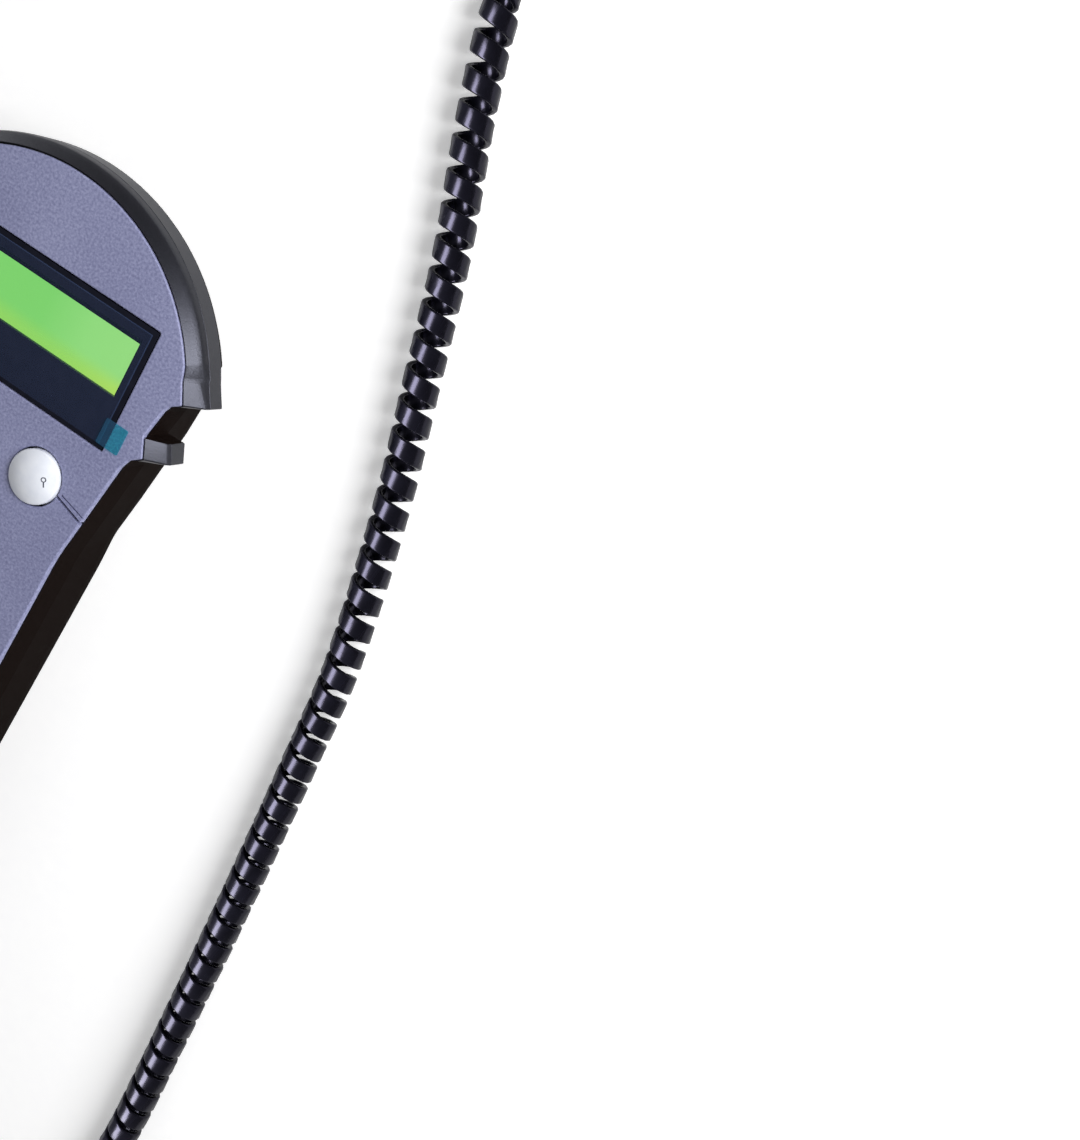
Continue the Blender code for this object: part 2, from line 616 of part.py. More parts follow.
def make_screws():
    """Pan-head screws that go in from the back, head down."""
    neck = CASE_SCREW_SINK + CASE_SCREW_HEAD_HEIGHT
    profile = screw_profile(CASE_SCREW_SHANK, CASE_SCREW_LENGTH, CASE_SCREW_HEAD, CASE_SCREW_HEAD_HEIGHT, neck)
    for i, (x, y) in enumerate(CASE_SCREWS):
        turned(f"case_screw_{i + 1}", profile, screw_steel, 10).location = (x, y, 0)
    neck = BOARD_UNDER - GAP
    profile = screw_profile(
        BOARD_SCREW_SHANK, BOARD_SCREW_LENGTH, BOARD_SCREW_HEAD, BOARD_SCREW_HEAD_HEIGHT, neck
    )
    for i, (x, y) in enumerate(BOARD_SCREWS):
        turned(f"board_screw_{i + 1}", profile, screw_steel, 10).location = (x, y, 0)


def screw_profile(shank, length, head, head_height, neck):
    """Points down a screw's side, with its head under the height of the neck."""
    base = neck - head_height
    profile = [(0, neck + length), (shank / 2, neck + length), (shank / 2, neck), (head / 2, neck)]
    return profile + [(head / 2, base + head_height / 3), (head / 3, base), (0, base)]


def make_boot():
    """Strain relief: a taper outside the end wall, a neck through its collar and a flange inside."""
    inner = COLLAR_LENGTH + 2 * GAP
    profile = [
        (0, BOOT_LENGTH),
        (BOOT_TIP_DIAMETER / 2, BOOT_LENGTH),
        (BOOT_BASE_DIAMETER / 2, 0),
        (BOOT_NECK_DIAMETER / 2, 0),
        (BOOT_NECK_DIAMETER / 2, -inner),
        (BOOT_FLANGE_DIAMETER / 2, -inner),
        (BOOT_FLANGE_DIAMETER / 2, -inner - BOOT_FLANGE_THICKNESS),
        (0, -inner - BOOT_FLANGE_THICKNESS),
    ]
    boot = turned("cord_boot", profile, cord_black)
    boot.rotation_euler = (math.pi / 2, 0, 0)
    boot.location = (0, BOTTOM, BOOT_HEIGHT)


def smooth(points, per_span=24):
    """Points on a smooth curve through the given ones."""
    points = [Vector(p) for p in points]
    ends = [2 * points[0] - points[1], *points, 2 * points[-1] - points[-2]]
    line = []
    for a, b, c, d in zip(ends, ends[1:], ends[2:], ends[3:]):
        for i in range(per_span):
            t = i / per_span
            bend = 2 * a - 5 * b + 4 * c - d
            twist = 3 * b - a - 3 * c + d
            line.append(0.5 * (2 * b + (c - a) * t + bend * t**2 + twist * t**3))
    return line + [points[-1]]


def spaced(line, step):
    """The line again, with points evenly spaced about step apart, and the spacing."""
    along = [0.0]
    for a, b in zip(line, line[1:]):
        along.append(along[-1] + (b - a).length)
    count = max(2, round(along[-1] / step))
    found, k = [], 0
    for i in range(count + 1):
        want = along[-1] * i / count
        while k < len(along) - 2 and along[k + 1] < want:
            k += 1
        share = (want - along[k]) / max(along[k + 1] - along[k], 1e-12)
        found.append(line[k].lerp(line[k + 1], min(1.0, share)))
    return found, along[-1] / count


def tube(name, line, look):
    curve = bpy.data.curves.new(name, "CURVE")
    curve.dimensions = "3D"
    curve.bevel_depth = CABLE_DIAMETER / 2
    curve.bevel_resolution = CABLE_SIDES_RESOLUTION
    curve.use_fill_caps = True
    spline = curve.splines.new("POLY")
    spline.points.add(len(line) - 1)
    for point, place_of in zip(spline.points, line):
        point.co = (*place_of, 1.0)
    place(bpy.data.objects.new(name, curve), look)


def helix(route):
    """The cable's middle as it winds along the route, left-handed, with a straight run at each end."""
    fine, step = spaced(smooth(route), CURL_STEP)
    total = step * (len(fine) - 1)
    up = Vector((0, 0, 1))
    line, phase, due = [], 0.0, 0.0
    straight = 1.5 * CABLE_DIAMETER
    for i, centre in enumerate(fine):
        s = i * step
        tangent = (fine[min(i + 1, len(fine) - 1)] - fine[max(i - 1, 0)]).normalized()
        side = up.cross(tangent)
        ramp = min(1.0, max(0.0, (min(s, total - s) - straight) / CURL_RUN_IN))
        radius = CURL_RADIUS * math.sin(ramp * math.pi / 2)
        stretch = min(1.0, max(0.0, (s / total - STRETCH_START) / (STRETCH_END - STRETCH_START)))
        if i == 0 or i == len(fine) - 1 or phase >= due:
            line.append(centre + radius * (math.cos(phase) * side - math.sin(phase) * up))
            due = phase + 2 * math.pi / CURL_POINTS
        if straight < s < total - straight:
            phase += 2 * math.pi * step / (CURL_PITCH + CURL_STRETCH * stretch)
        elif len(line) == 1:
            line.append(centre + tangent * straight)
            due = phase + 2 * math.pi / CURL_POINTS
    line.insert(-1, line[-1] - tangent * straight)
    return line, phase / (2 * math.pi)


def least_gap(line):
    """The least distance between the cable's surface and itself, measured between its points."""
    fine, step = spaced(line, CABLE_DIAMETER / 2)
    tree = KDTree(len(fine))
    for i, p in enumerate(fine):
        tree.insert(p, i)
    tree.balance()
    apart = round(4 * CABLE_DIAMETER / step)
    found = min(
        (p - fine[j]).length
        for i, p in enumerate(fine)
        for _, j, _ in tree.find_range(p, 4 * CABLE_DIAMETER)
        if abs(i - j) > apart
    )
    return found - CABLE_DIAMETER


def make_cord():
    lead, _ = spaced(smooth(LEAD_ROUTE), 2 * CABLE_DIAMETER)
    tube("cord_lead", lead, cord_black)
    line, curls = helix([(x, y, COIL_Z) for x, y in COIL_ROUTE])
    tube("curly_cord", line, cord_black)
    tail, _ = spaced(smooth(TAIL_ROUTE), 2 * CABLE_DIAMETER)
    tube("cord_tail", tail, cord_black)
    length = sum((b - a).length for a, b in zip(line, line[1:]))
    print(f"curly cord: {curls:.1f} curls, {length:.3f} m of cable, least gap {least_gap(line) * 1000:.2f} mm")


def make_plug():
    """Modular plug: a clear body with a contact comb in its top and a sprung latch above."""
    half = PLUG_WIDTH / 2
    nose = PLUG_Y + PLUG_LENGTH
    body = box("plug_body", (PLUG_X - half, PLUG_Y, 0.0), (PLUG_X + half, nose, PLUG_HEIGHT), plug_clear)
    comb = (PLUG_CONTACTS - 1) * CONTACT_PITCH + CONTACT_WIDTH
    slot = comb / 2 + GAP
    low = (PLUG_X - slot, nose - PLUG_SLOT_LENGTH, -OVER)
    boolean(body, box("contact_slot", low, (PLUG_X + slot, nose + OVER, PLUG_SLOT_DEPTH)))
    root = PLUG_HEIGHT - LATCH_ROOT_SINK
    recess = LATCH_WIDTH / 2 + GAP
    latch_front = nose - LATCH_THICKNESS
    low = (PLUG_X - recess, PLUG_Y - OVER, root - GAP)
    boolean(body, box("latch_channel", low, (PLUG_X + recess, nose + OVER, PLUG_HEIGHT + OVER)))
    comb_top = PLUG_SLOT_DEPTH - GAP
    base_low = comb_top - CONTACT_WIDTH
    back = nose - PLUG_SLOT_LENGTH + GAP
    low, high = (PLUG_X - comb / 2, back, base_low), (PLUG_X + comb / 2, nose - GAP, comb_top)
    contacts = box("plug_contacts", low, high, contact_gold)
    for i in range(PLUG_CONTACTS):
        x = PLUG_X - comb / 2 + i * CONTACT_PITCH
        high = (x + CONTACT_WIDTH, nose - 2 * GAP, base_low + CONTACT_WIDTH / 2)
        boolean(contacts, box(f"contact_blade_{i + 1}", (x, back + GAP, GAP), high), "UNION")
    low, high = (-LATCH_WIDTH / 2, -LATCH_LENGTH, 0.0), (LATCH_WIDTH / 2, 0.0, LATCH_THICKNESS)
    latch = box("plug_latch", low, high, plug_clear)
    latch.location = (PLUG_X, latch_front, root)
    latch.rotation_euler = (-LATCH_LIFT, 0, 0)


make_front_case()
make_rear_case()
make_face_plate()
make_display()
make_boards()
make_keys()
make_screws()
make_boot()
make_cord()
make_plug()
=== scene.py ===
import math

import bmesh
import bpy
from mathutils import Matrix, Vector


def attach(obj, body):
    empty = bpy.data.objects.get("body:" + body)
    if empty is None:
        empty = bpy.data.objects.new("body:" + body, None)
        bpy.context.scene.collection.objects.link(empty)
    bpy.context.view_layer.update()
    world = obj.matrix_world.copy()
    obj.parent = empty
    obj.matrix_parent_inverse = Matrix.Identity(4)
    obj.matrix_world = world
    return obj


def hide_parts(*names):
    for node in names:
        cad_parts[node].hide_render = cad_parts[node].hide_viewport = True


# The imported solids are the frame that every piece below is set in. Metres, +Z up. The
# controller lies on its back with its face up, its round head towards +Y.
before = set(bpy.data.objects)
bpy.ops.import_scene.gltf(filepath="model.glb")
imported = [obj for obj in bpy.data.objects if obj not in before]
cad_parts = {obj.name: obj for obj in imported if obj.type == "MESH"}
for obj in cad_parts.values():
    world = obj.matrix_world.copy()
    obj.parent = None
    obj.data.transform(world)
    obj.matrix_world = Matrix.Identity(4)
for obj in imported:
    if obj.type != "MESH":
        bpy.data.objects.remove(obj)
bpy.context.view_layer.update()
scene = bpy.context.scene
scene.view_settings.view_transform = "Standard"

# ---------------------------------------------------------------------------- Camera
# It looks down on the head's right side, as the photograph does, turned so that the
# controller's length runs from the lower left to the upper right.
view_back = Vector((0.145, 0.255, 0.956)).normalized()
view_right = Vector((0.824, 0.504, -0.259))
view_right = (view_right - view_right.dot(view_back) * view_back).normalized()
view_up = view_back.cross(view_right)
camera_lens = bpy.data.cameras.new("camera")
camera_lens.lens = 45.66
camera_lens.sensor_width = 36.0
camera_lens.clip_start = 0.01
camera = bpy.data.objects.new("camera", camera_lens)
camera.matrix_world = (
    Matrix.Translation((0.16605, 0.14424, 0.30101))
    @ Matrix((view_right, view_up, view_back)).transposed().to_4x4()
)
scene.collection.objects.link(camera)
scene.camera = camera

# ------------------------------------------------------------------------ Curly cord
# A flat four-wire cable in gloss black PVC, wound on a mandrel and heat-set into a
# left-handed curl. A straight lead runs from the boot, a straight tail into the plug.
up = Vector((0, 0, 1))
gap = 0.0003
cable_width, cable_thickness, cable_round = 0.0043, 0.0014, 0.00045
curl_outside = 0.0084
curl_points = 20
curl_start = math.radians(-200)
coil_z = curl_outside / 2 + gap / 2
boot_tip = Vector((0.0, -0.11535, 0.0115))
lead_end = -0.14735
lead_route = [
    (0.0, boot_tip.y - gap, 0.0115),
    (0.0, boot_tip.y - 0.006, 0.0111),
    (0.0, boot_tip.y - 0.013, 0.0085),
    (0.0, boot_tip.y - 0.020, coil_z + 0.0014),
    (0.0, lead_end + 0.006, coil_z + 0.0001),
    (0.0, lead_end, coil_z),
]
coil_route = [
    (0.0, lead_end - gap),
    (0.002, lead_end - 0.0172),
    (0.012, lead_end - 0.0352),
    (0.030, lead_end - 0.0472),
    (0.053, lead_end - 0.0492),
    (0.076, lead_end - 0.0412),
    (0.093, lead_end - 0.0242),
    (0.1030, lead_end),
    (0.1052, -0.118),
    (0.1030, -0.079),
    (0.1000, -0.040),
    (0.0968, -0.005),
    (0.0938, 0.022),
    (0.0858, 0.058),
    (0.0782, 0.084),
    (0.0698, 0.112),
    (0.0605, 0.137),
    (0.0545, 0.156),
    (0.0520, 0.170),
]
tail_route = [
    (0.0520, 0.170 + gap, coil_z),
    (0.0520, 0.177, coil_z - 0.0004),
    (0.0520, 0.183, 0.0035),
    (0.0520, 0.190, 0.0033),
]


def linear(colour):
    """A hex sRGB colour as linear RGBA."""
    parts = [int(colour[i : i + 2], 16) / 255 for i in (1, 3, 5)]
    return (*[c / 12.92 if c <= 0.04045 else ((c + 0.055) / 1.055) ** 2.4 for c in parts], 1.0)


def add(tree, kind, inputs=None, stops=(), **properties):
    """Adds a node. An input takes a value, a hex colour, a socket, or a node for its first output."""
    node = tree.nodes.new(kind)
    for name, value in properties.items():
        setattr(node, name, value)
    for i, (place, colour) in enumerate(stops):
        stop = node.color_ramp.elements[i] if i < 2 else node.color_ramp.elements.new(place)
        stop.position, stop.color = place, linear(colour)
    for name, value in (inputs or {}).items():
        if isinstance(value, bpy.types.Node):
            value = value.outputs[0]
        if isinstance(value, bpy.types.NodeSocket):
            tree.links.new(value, node.inputs[name])
        else:
            node.inputs[name].default_value = linear(value) if isinstance(value, str) else value
    return node


def new_finish(name):
    """A material, its node tree and the coordinates of the piece that it is on."""
    made = bpy.data.materials.new(name)
    made.use_nodes = True
    made.node_tree.nodes.clear()
    tree = made.node_tree
    return made, tree, add(tree, "ShaderNodeTexCoord").outputs["Object"]


def shaded(mesh):
    """Makes all but level faces smooth, and edges over 32 degrees sharp."""
    mesh.shade_smooth()
    mesh.set_sharp_from_angle(angle=math.radians(32))
    for face in mesh.polygons:
        face.use_smooth = abs(face.normal.z) < 0.999999


def settle(name, bm, looks):
    """The mesh as a piece of the scene, with its materials."""
    mesh = bpy.data.meshes.new(name)
    bm.to_mesh(mesh)
    bm.free()
    for look in looks:
        mesh.materials.append(look)
    shaded(mesh)
    piece = bpy.data.objects.new(name, mesh)
    scene.collection.objects.link(piece)
    return piece


def skin(name, rings, looks=(), zones=None):
    """A closed body through rings of as many points each. Zones give each column's material."""
    bm = bmesh.new()
    levels = [[bm.verts.new(p) for p in ring] for ring in rings]
    count = len(levels[0])
    for lower, upper in zip(levels, levels[1:]):
        for i in range(count):
            j = (i + 1) % count
            face = bm.faces.new((lower[i], lower[j], upper[j], upper[i]))
            face.material_index = zones[i] if zones else 0
    bm.faces.new(reversed(levels[0]))
    bm.faces.new(levels[-1])
    bmesh.ops.recalc_face_normals(bm, faces=bm.faces)
    return settle(name, bm, looks)


def smooth(points, per_span=24):
    """Points on a smooth curve through the given ones."""
    points = [Vector(p) for p in points]
    ends = [2 * points[0] - points[1], *points, 2 * points[-1] - points[-2]]
    line = []
    for a, b, c, d in zip(ends, ends[1:], ends[2:], ends[3:]):
        for i in range(per_span):
            t = i / per_span
            bend = 2 * a - 5 * b + 4 * c - d
            twist = 3 * b - a - 3 * c + d
            line.append(0.5 * (2 * b + (c - a) * t + bend * t**2 + twist * t**3))
    return line + [points[-1]]


def spaced(line, step):
    """The line again, with points evenly spaced about step apart, and the spacing."""
    along = [0.0]
    for a, b in zip(line, line[1:]):
        along.append(along[-1] + (b - a).length)
    count = max(2, round(along[-1] / step))
    found, k = [], 0
    for i in range(count + 1):
        want = along[-1] * i / count
        while k < len(along) - 2 and along[k + 1] < want:
            k += 1
        share = (want - along[k]) / max(along[k + 1] - along[k], 1e-12)
        found.append(line[k].lerp(line[k + 1], min(1.0, share)))
    return found, along[-1] / count


def wound(route):
    """The curl's points with the direction that the flat cable faces there, and the last phase."""
    fine, step = spaced(smooth(route), 0.0002)
    total = step * (len(fine) - 1)
    full = (curl_outside - cable_thickness) / 2
    straight, run_in = 0.0033, 0.008
    found, phase, due = [], curl_start, curl_start
    for i, centre in enumerate(fine):
        s = i * step
        tangent = (fine[min(i + 1, len(fine) - 1)] - fine[max(i - 1, 0)]).normalized()
        ramp = min(1.0, max(0.0, (min(s, total - s) - straight) / run_in))
        outward = math.cos(phase) * up.cross(tangent) - math.sin(phase) * up
        if phase >= due or i == len(fine) - 1:
            found.append((centre + full * math.sin(ramp * math.pi / 2) * outward, outward))
            due = phase + 2 * math.pi / curl_points
        if straight < s < total - straight:
            stretch = min(1.0, max(0.0, (s / total - 0.63) / 0.12))
            phase += 2 * math.pi * step / (0.0057 + 0.0013 * stretch)
    return found, phase


def turned_lead(route, first, last):
    """A straight end of the cable, whose flat side turns from one angle to the other."""
    line, step = spaced(smooth(route), 0.0012)
    found = []
    for i, point in enumerate(line):
        ahead = line[min(i + 1, len(line) - 1)] - line[max(i - 1, 0)]
        side = up.cross(ahead.normalized())
        share = i / (len(line) - 1)
        angle = first + (last - first) * share**2 * (3 - 2 * share)
        found.append((point, math.cos(angle) * side - math.sin(angle) * up))
    return found


def rounded(x0, y0, x1, y1, radius, steps=6):
    """A rectangle with round corners, anticlockwise."""
    left, right, low, high = x0 + radius, x1 - radius, y0 + radius, y1 - radius
    points = []
    for k, (cx, cy) in enumerate([(right, high), (left, high), (left, low), (right, low)]):
        for i in range(steps + 1):
            a = math.radians(90 * k + 90 * i / steps)
            points.append((cx + radius * math.cos(a), cy + radius * math.sin(a)))
    return points


curl, end_phase = wound([(x, y, coil_z) for x, y in coil_route])
flat_up = -math.pi / 2
end_flat = flat_up + math.pi * round((end_phase - flat_up) / math.pi)
stations = turned_lead(lead_route, flat_up, curl_start) + curl
stations += turned_lead(tail_route, end_phase, end_flat)
cord_path = [point for point, _ in stations]
cable_section = rounded(
    -cable_width / 2, -cable_thickness / 2, cable_width / 2, cable_thickness / 2, cable_round, 3
)
cord_rings, cord_along = [], [0.0]
for i, (point, outward) in enumerate(stations):
    ahead = (cord_path[min(i + 1, len(stations) - 1)] - cord_path[max(i - 1, 0)]).normalized()
    face_out = (outward - outward.dot(ahead) * ahead).normalized()
    across = ahead.cross(face_out)
    cord_rings.append([point + a * across + b * face_out for a, b in cable_section])
    if i:
        cord_along.append(cord_along[-1] + (point - cord_path[i - 1]).length)

# PVC sheath, extruded and heat-set: near black with a blue cast, glossy, with faint drawing
# lines across the length and a little dust.
cord_black, tree, coords = new_finish("gloss_black_pvc_extruded")
along = add(tree, "ShaderNodeAttribute", attribute_name="along").outputs["Fac"]
haze = add(tree, "ShaderNodeTexNoise", {"Vector": coords, "Scale": 180.0, "Detail": 4.0})
bands = add(tree, "ShaderNodeTexNoise", {"W": along, "Scale": 700.0, "Detail": 3.0}, noise_dimensions="1D")
tone = add(tree, "ShaderNodeValToRGB", {"Fac": haze}, [(0.35, "#050509"), (0.7, "#0C0C13")])
gloss = add(
    tree,
    "ShaderNodeMapRange",
    {"Value": bands, "From Min": 0.3, "From Max": 0.7, "To Min": 0.2, "To Max": 0.28},
)
lines = add(tree, "ShaderNodeBump", {"Height": bands, "Strength": 0.12, "Distance": 0.0002})
shader = add(
    tree,
    "ShaderNodeBsdfPrincipled",
    {
        "Base Color": tone,
        "Roughness": gloss,
        "Normal": lines,
        "Specular IOR Level": 0.35,
        "Specular Tint": "#DDD8FF",
    },
)
add(tree, "ShaderNodeOutputMaterial", {"Surface": shader})

curly_cord = skin("curly_cable", cord_rings, [cord_black])
cord_measure = curly_cord.data.attributes.new("along", "FLOAT", "POINT")
cord_measure.data.foreach_set("value", [s for s in cord_along for _ in cable_section])
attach(curly_cord, "controller")
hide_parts("cord_lead", "curly_cord", "cord_tail")

# ------------------------------------------------------------------------- Cord boot
# A strain relief in soft black PVC, moulded on to the cable: a taper with ribs round it,
# a neck that passes the end wall and a flange that holds it from inside.
boot_root = Vector((0, -0.09135, 0.0115))
boot_length, boot_neck_length, boot_flange = 0.024, 0.0076, 0.002
rib_count, rib_first, rib_last, rib_bead = 7, 0.0048, 0.0031, 0.0008
boot_profile = [
    (0.0022, boot_length),
    (0.0026, boot_length - 0.0001),
    (0.0028, boot_length - 0.0006),
    (0.0046, 0.0006),
    (0.0050, 0.0004),
    (0.0050, 0.0),
    (0.0035, 0.0),
    (0.0035, -boot_neck_length),
    (0.00475, -boot_neck_length),
    (0.00475, -boot_neck_length - boot_flange),
    (0.0010, -boot_neck_length - boot_flange),
]


def round_rings(profile, centre, axis, count=48):
    """Rings about an axis through the centre, from (radius, distance along it) points."""
    side = axis.orthogonal().normalized()
    other = axis.cross(side)
    turns = [2 * math.pi * i / count for i in range(count)]
    spokes = [math.cos(a) * side + math.sin(a) * other for a in turns]
    return [[centre + axis * z + r * spoke for spoke in spokes] for r, z in profile]


def new_tree(name, sizes):
    """A Geometry Nodes tree with a named input for each size, and its ends."""
    tree = bpy.data.node_groups.new(name, "GeometryNodeTree")
    tree.interface.new_socket("Geometry", in_out="OUTPUT", socket_type="NodeSocketGeometry")
    tree.interface.new_socket("Geometry", in_out="INPUT", socket_type="NodeSocketGeometry")
    for label, kind in sizes:
        tree.interface.new_socket(label, in_out="INPUT", socket_type=kind)
    return tree, tree.nodes.new("NodeGroupInput").outputs, tree.nodes.new("NodeGroupOutput").inputs


def evaluated(piece):
    """A new mesh of the piece as its modifiers or its curve's settings make it."""
    bpy.context.view_layer.update()
    return bpy.data.meshes.new_from_object(piece.evaluated_get(bpy.context.evaluated_depsgraph_get()))


def grown(piece, tree, sizes):
    """The piece's mesh after the tree has run on it with these sizes."""
    step = piece.modifiers.new(tree.name, "NODES")
    step.node_group = tree
    for socket in tree.interface.items_tree:
        if socket.in_out == "INPUT" and socket.name in sizes:
            step[socket.identifier] = sizes[socket.name]
    mesh = evaluated(piece)
    piece.modifiers.clear()
    return mesh


def joined(piece, *meshes):
    """The piece with the other meshes' faces added to its own."""
    bm = bmesh.new()
    bm.from_mesh(piece.data)
    for mesh in meshes:
        bm.from_mesh(mesh)
        bpy.data.meshes.remove(mesh)
    bm.to_mesh(piece.data)
    bm.free()
    shaded(piece.data)
    return piece


def grained(name, scale, detail, stops, rough, shine, bump=None):
    """A finish whose tone, roughness and, where given, relief (strength, depth) follow one noise."""
    finish, tree, coords = new_finish(name)
    grain = add(tree, "ShaderNodeTexNoise", {"Vector": coords, "Scale": scale, "Detail": detail})
    tone = add(tree, "ShaderNodeValToRGB", {"Fac": grain}, stops)
    dull = add(tree, "ShaderNodeMapRange", {"Value": grain, "To Min": rough[0], "To Max": rough[1]})
    look = {"Base Color": tone, "Roughness": dull, **shine}
    if bump:
        look["Normal"] = add(
            tree, "ShaderNodeBump", {"Height": grain, "Strength": bump[0], "Distance": bump[1]}
        )
    shader = add(tree, "ShaderNodeBsdfPrincipled", look)
    add(tree, "ShaderNodeOutputMaterial", {"Surface": shader})
    return finish


# Flexible PVC, moulded: duller than the cable, with a fine satin grain.
boot_black = grained(
    "satin_black_pvc_moulded", 2500.0, 3.0, [(0.3, "#101014"), (0.75, "#1D1D22")],
    rough=(0.42, 0.6), shine={"IOR": 1.53}, bump=(0.25, 0.0002),
)

rib_tree, given, made = new_tree(
    "boot_ribs",
    [
        ("Ribs", "NodeSocketInt"),
        ("Run", "NodeSocketFloat"),
        ("First radius", "NodeSocketFloat"),
        ("Last radius", "NodeSocketFloat"),
        ("Bead", "NodeSocketFloat"),
        ("Root", "NodeSocketVector"),
        ("Finish", "NodeSocketMaterial"),
    ],
)
spacing = add(rib_tree, "ShaderNodeMath", {0: given["Run"], 1: given["Ribs"]}, operation="DIVIDE")
back_by = add(rib_tree, "ShaderNodeMath", {0: spacing, 1: -1.0}, operation="MULTIPLY")
offset = add(rib_tree, "ShaderNodeCombineXYZ", {"Y": back_by})
places = add(
    rib_tree,
    "GeometryNodeMeshLine",
    {"Count": given["Ribs"], "Start Location": given["Root"], "Offset": offset},
)
index = add(rib_tree, "GeometryNodeInputIndex")
share = add(rib_tree, "ShaderNodeMath", {0: index, 1: given["Ribs"]}, operation="DIVIDE")
radius = add(
    rib_tree,
    "ShaderNodeMapRange",
    {"Value": share, "To Min": given["First radius"], "To Max": given["Last radius"]},
)
bead = add(rib_tree, "GeometryNodeCurvePrimitiveCircle", {"Resolution": 10, "Radius": given["Bead"]})
hoop = add(rib_tree, "GeometryNodeCurvePrimitiveCircle", {"Resolution": 40, "Radius": 1.0})
# The hoop is drawn with a radius of one and shrunk to the boot's, so its bead is drawn that much thicker.
mean = add(rib_tree, "ShaderNodeMath", {0: 1.0, 1: given["First radius"]}, operation="DIVIDE")
wide = add(rib_tree, "ShaderNodeCombineXYZ", {"X": mean, "Y": mean, "Z": mean})
thick = add(rib_tree, "GeometryNodeTransform", {"Geometry": bead, "Scale": wide})
ring = add(rib_tree, "GeometryNodeCurveToMesh", {"Curve": hoop, "Profile Curve": thick})
scale = add(rib_tree, "ShaderNodeCombineXYZ", {"X": radius, "Y": radius, "Z": radius})
ribs = add(
    rib_tree,
    "GeometryNodeInstanceOnPoints",
    {"Points": places, "Instance": ring, "Rotation": (math.pi / 2, 0, 0), "Scale": scale},
)
solid = add(rib_tree, "GeometryNodeRealizeInstances", {0: ribs})
faced = add(rib_tree, "GeometryNodeSetMaterial", {"Geometry": solid, "Material": given["Finish"]})
rib_tree.links.new(faced.outputs[0], made[0])

cord_boot = skin("ribbed_boot", round_rings(boot_profile, boot_root, Vector((0, -1, 0))), [boot_black])
seed = bpy.data.objects.new("boot_ribs", bpy.data.meshes.new("boot_ribs"))
scene.collection.objects.link(seed)
rib_sizes = {
    "Ribs": rib_count,
    "Run": boot_length - 0.004,
    "First radius": rib_first,
    "Last radius": rib_last,
    "Bead": rib_bead,
    "Root": tuple(boot_root + Vector((0, -0.003, 0))),
    "Finish": boot_black,
}
joined(cord_boot, grown(seed, rib_tree, rib_sizes))
bpy.data.objects.remove(seed)
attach(cord_boot, "controller")
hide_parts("cord_boot")

# ---------------------------------------------------------------------- Modular plug
# A four-way plug in clear polycarbonate, moulded in one with its springy latch and
# crimped on to the cable. Gold-plated blades stand in its nose.


def softened(name, node, width, looks):
    """A copy of a solid with its edges rounded off by the given width."""
    bm = bmesh.new()
    bm.from_mesh(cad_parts[node].data)
    bmesh.ops.remove_doubles(bm, verts=bm.verts, dist=1e-6)
    bmesh.ops.dissolve_limit(bm, angle_limit=0.01, verts=bm.verts, edges=bm.edges)
    bmesh.ops.bevel(
        bm, geom=bm.edges[:], offset=width, segments=3, profile=0.6, affect="EDGES", clamp_overlap=True
    )
    bmesh.ops.recalc_face_normals(bm, faces=bm.faces)
    for face in bm.faces:
        face.material_index = 0
    return settle(name, bm, looks)


# Polycarbonate, injection moulded: water clear with a faint grey-blue, slightly wavy faces.
plug_clear, tree, coords = new_finish("clear_polycarbonate_moulded")
waves = add(tree, "ShaderNodeTexNoise", {"Vector": coords, "Scale": 300.0, "Detail": 1.0})
tone = add(tree, "ShaderNodeValToRGB", {"Fac": waves}, [(0.3, "#D8DFE6"), (0.7, "#EEF2F6")])
flow = add(tree, "ShaderNodeBump", {"Height": waves, "Strength": 0.1, "Distance": 0.0005})
shader = add(
    tree,
    "ShaderNodeBsdfPrincipled",
    {"Base Color": tone, "Normal": flow, "Roughness": 0.06, "IOR": 1.58, "Transmission Weight": 0.9},
)
add(tree, "ShaderNodeOutputMaterial", {"Surface": shader})

plug_shell = softened("plug_shell", "plug_body", 0.00025, [plug_clear])
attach(plug_shell, "controller")
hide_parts("plug_body")
latch_arm = softened("latch_arm", "plug_latch", 0.0002, [plug_clear])
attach(latch_arm, "plug_latch")
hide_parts("plug_latch")

# Gold over nickel on phosphor bronze, stamped: warm, bright, with fine rubbing marks.
contact_gold = grained(
    "gold_plated_bronze_stamped", 1600.0, 4.0, [(0.3, "#C69A3E"), (0.7, "#EBC873")],
    rough=(0.16, 0.36), shine={"Metallic": 1.0},
)
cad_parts["plug_contacts"].data.materials[0] = contact_gold

# ------------------------------------------------------------------------ Front case
# The top shell in charcoal ABS, injection moulded. A rounded rim stands round the head and
# two saw-tooth finger grips on each side. A pocket takes the face plate, holes the keys.
head_radius, rim_width, head_y = 0.0468, 0.0032, 0.04135
case_top, parting, pocket_floor, roof_under = 0.030, 0.020, 0.0281, 0.0261
arc_end = math.radians(32)
case_bottom = -0.09135
waist = Vector((0.0331, 0.00535))
handle_half, end_radius = 0.0307, 0.018
rim_land = 0.12
# The rim's section: a chamfer down to a ridge, then a steep strip to a fine line. How far the ridge
# drops, its share of the rim's width, and how far the line drops.
head_section = (0.0025, 0.90, 0.0046)
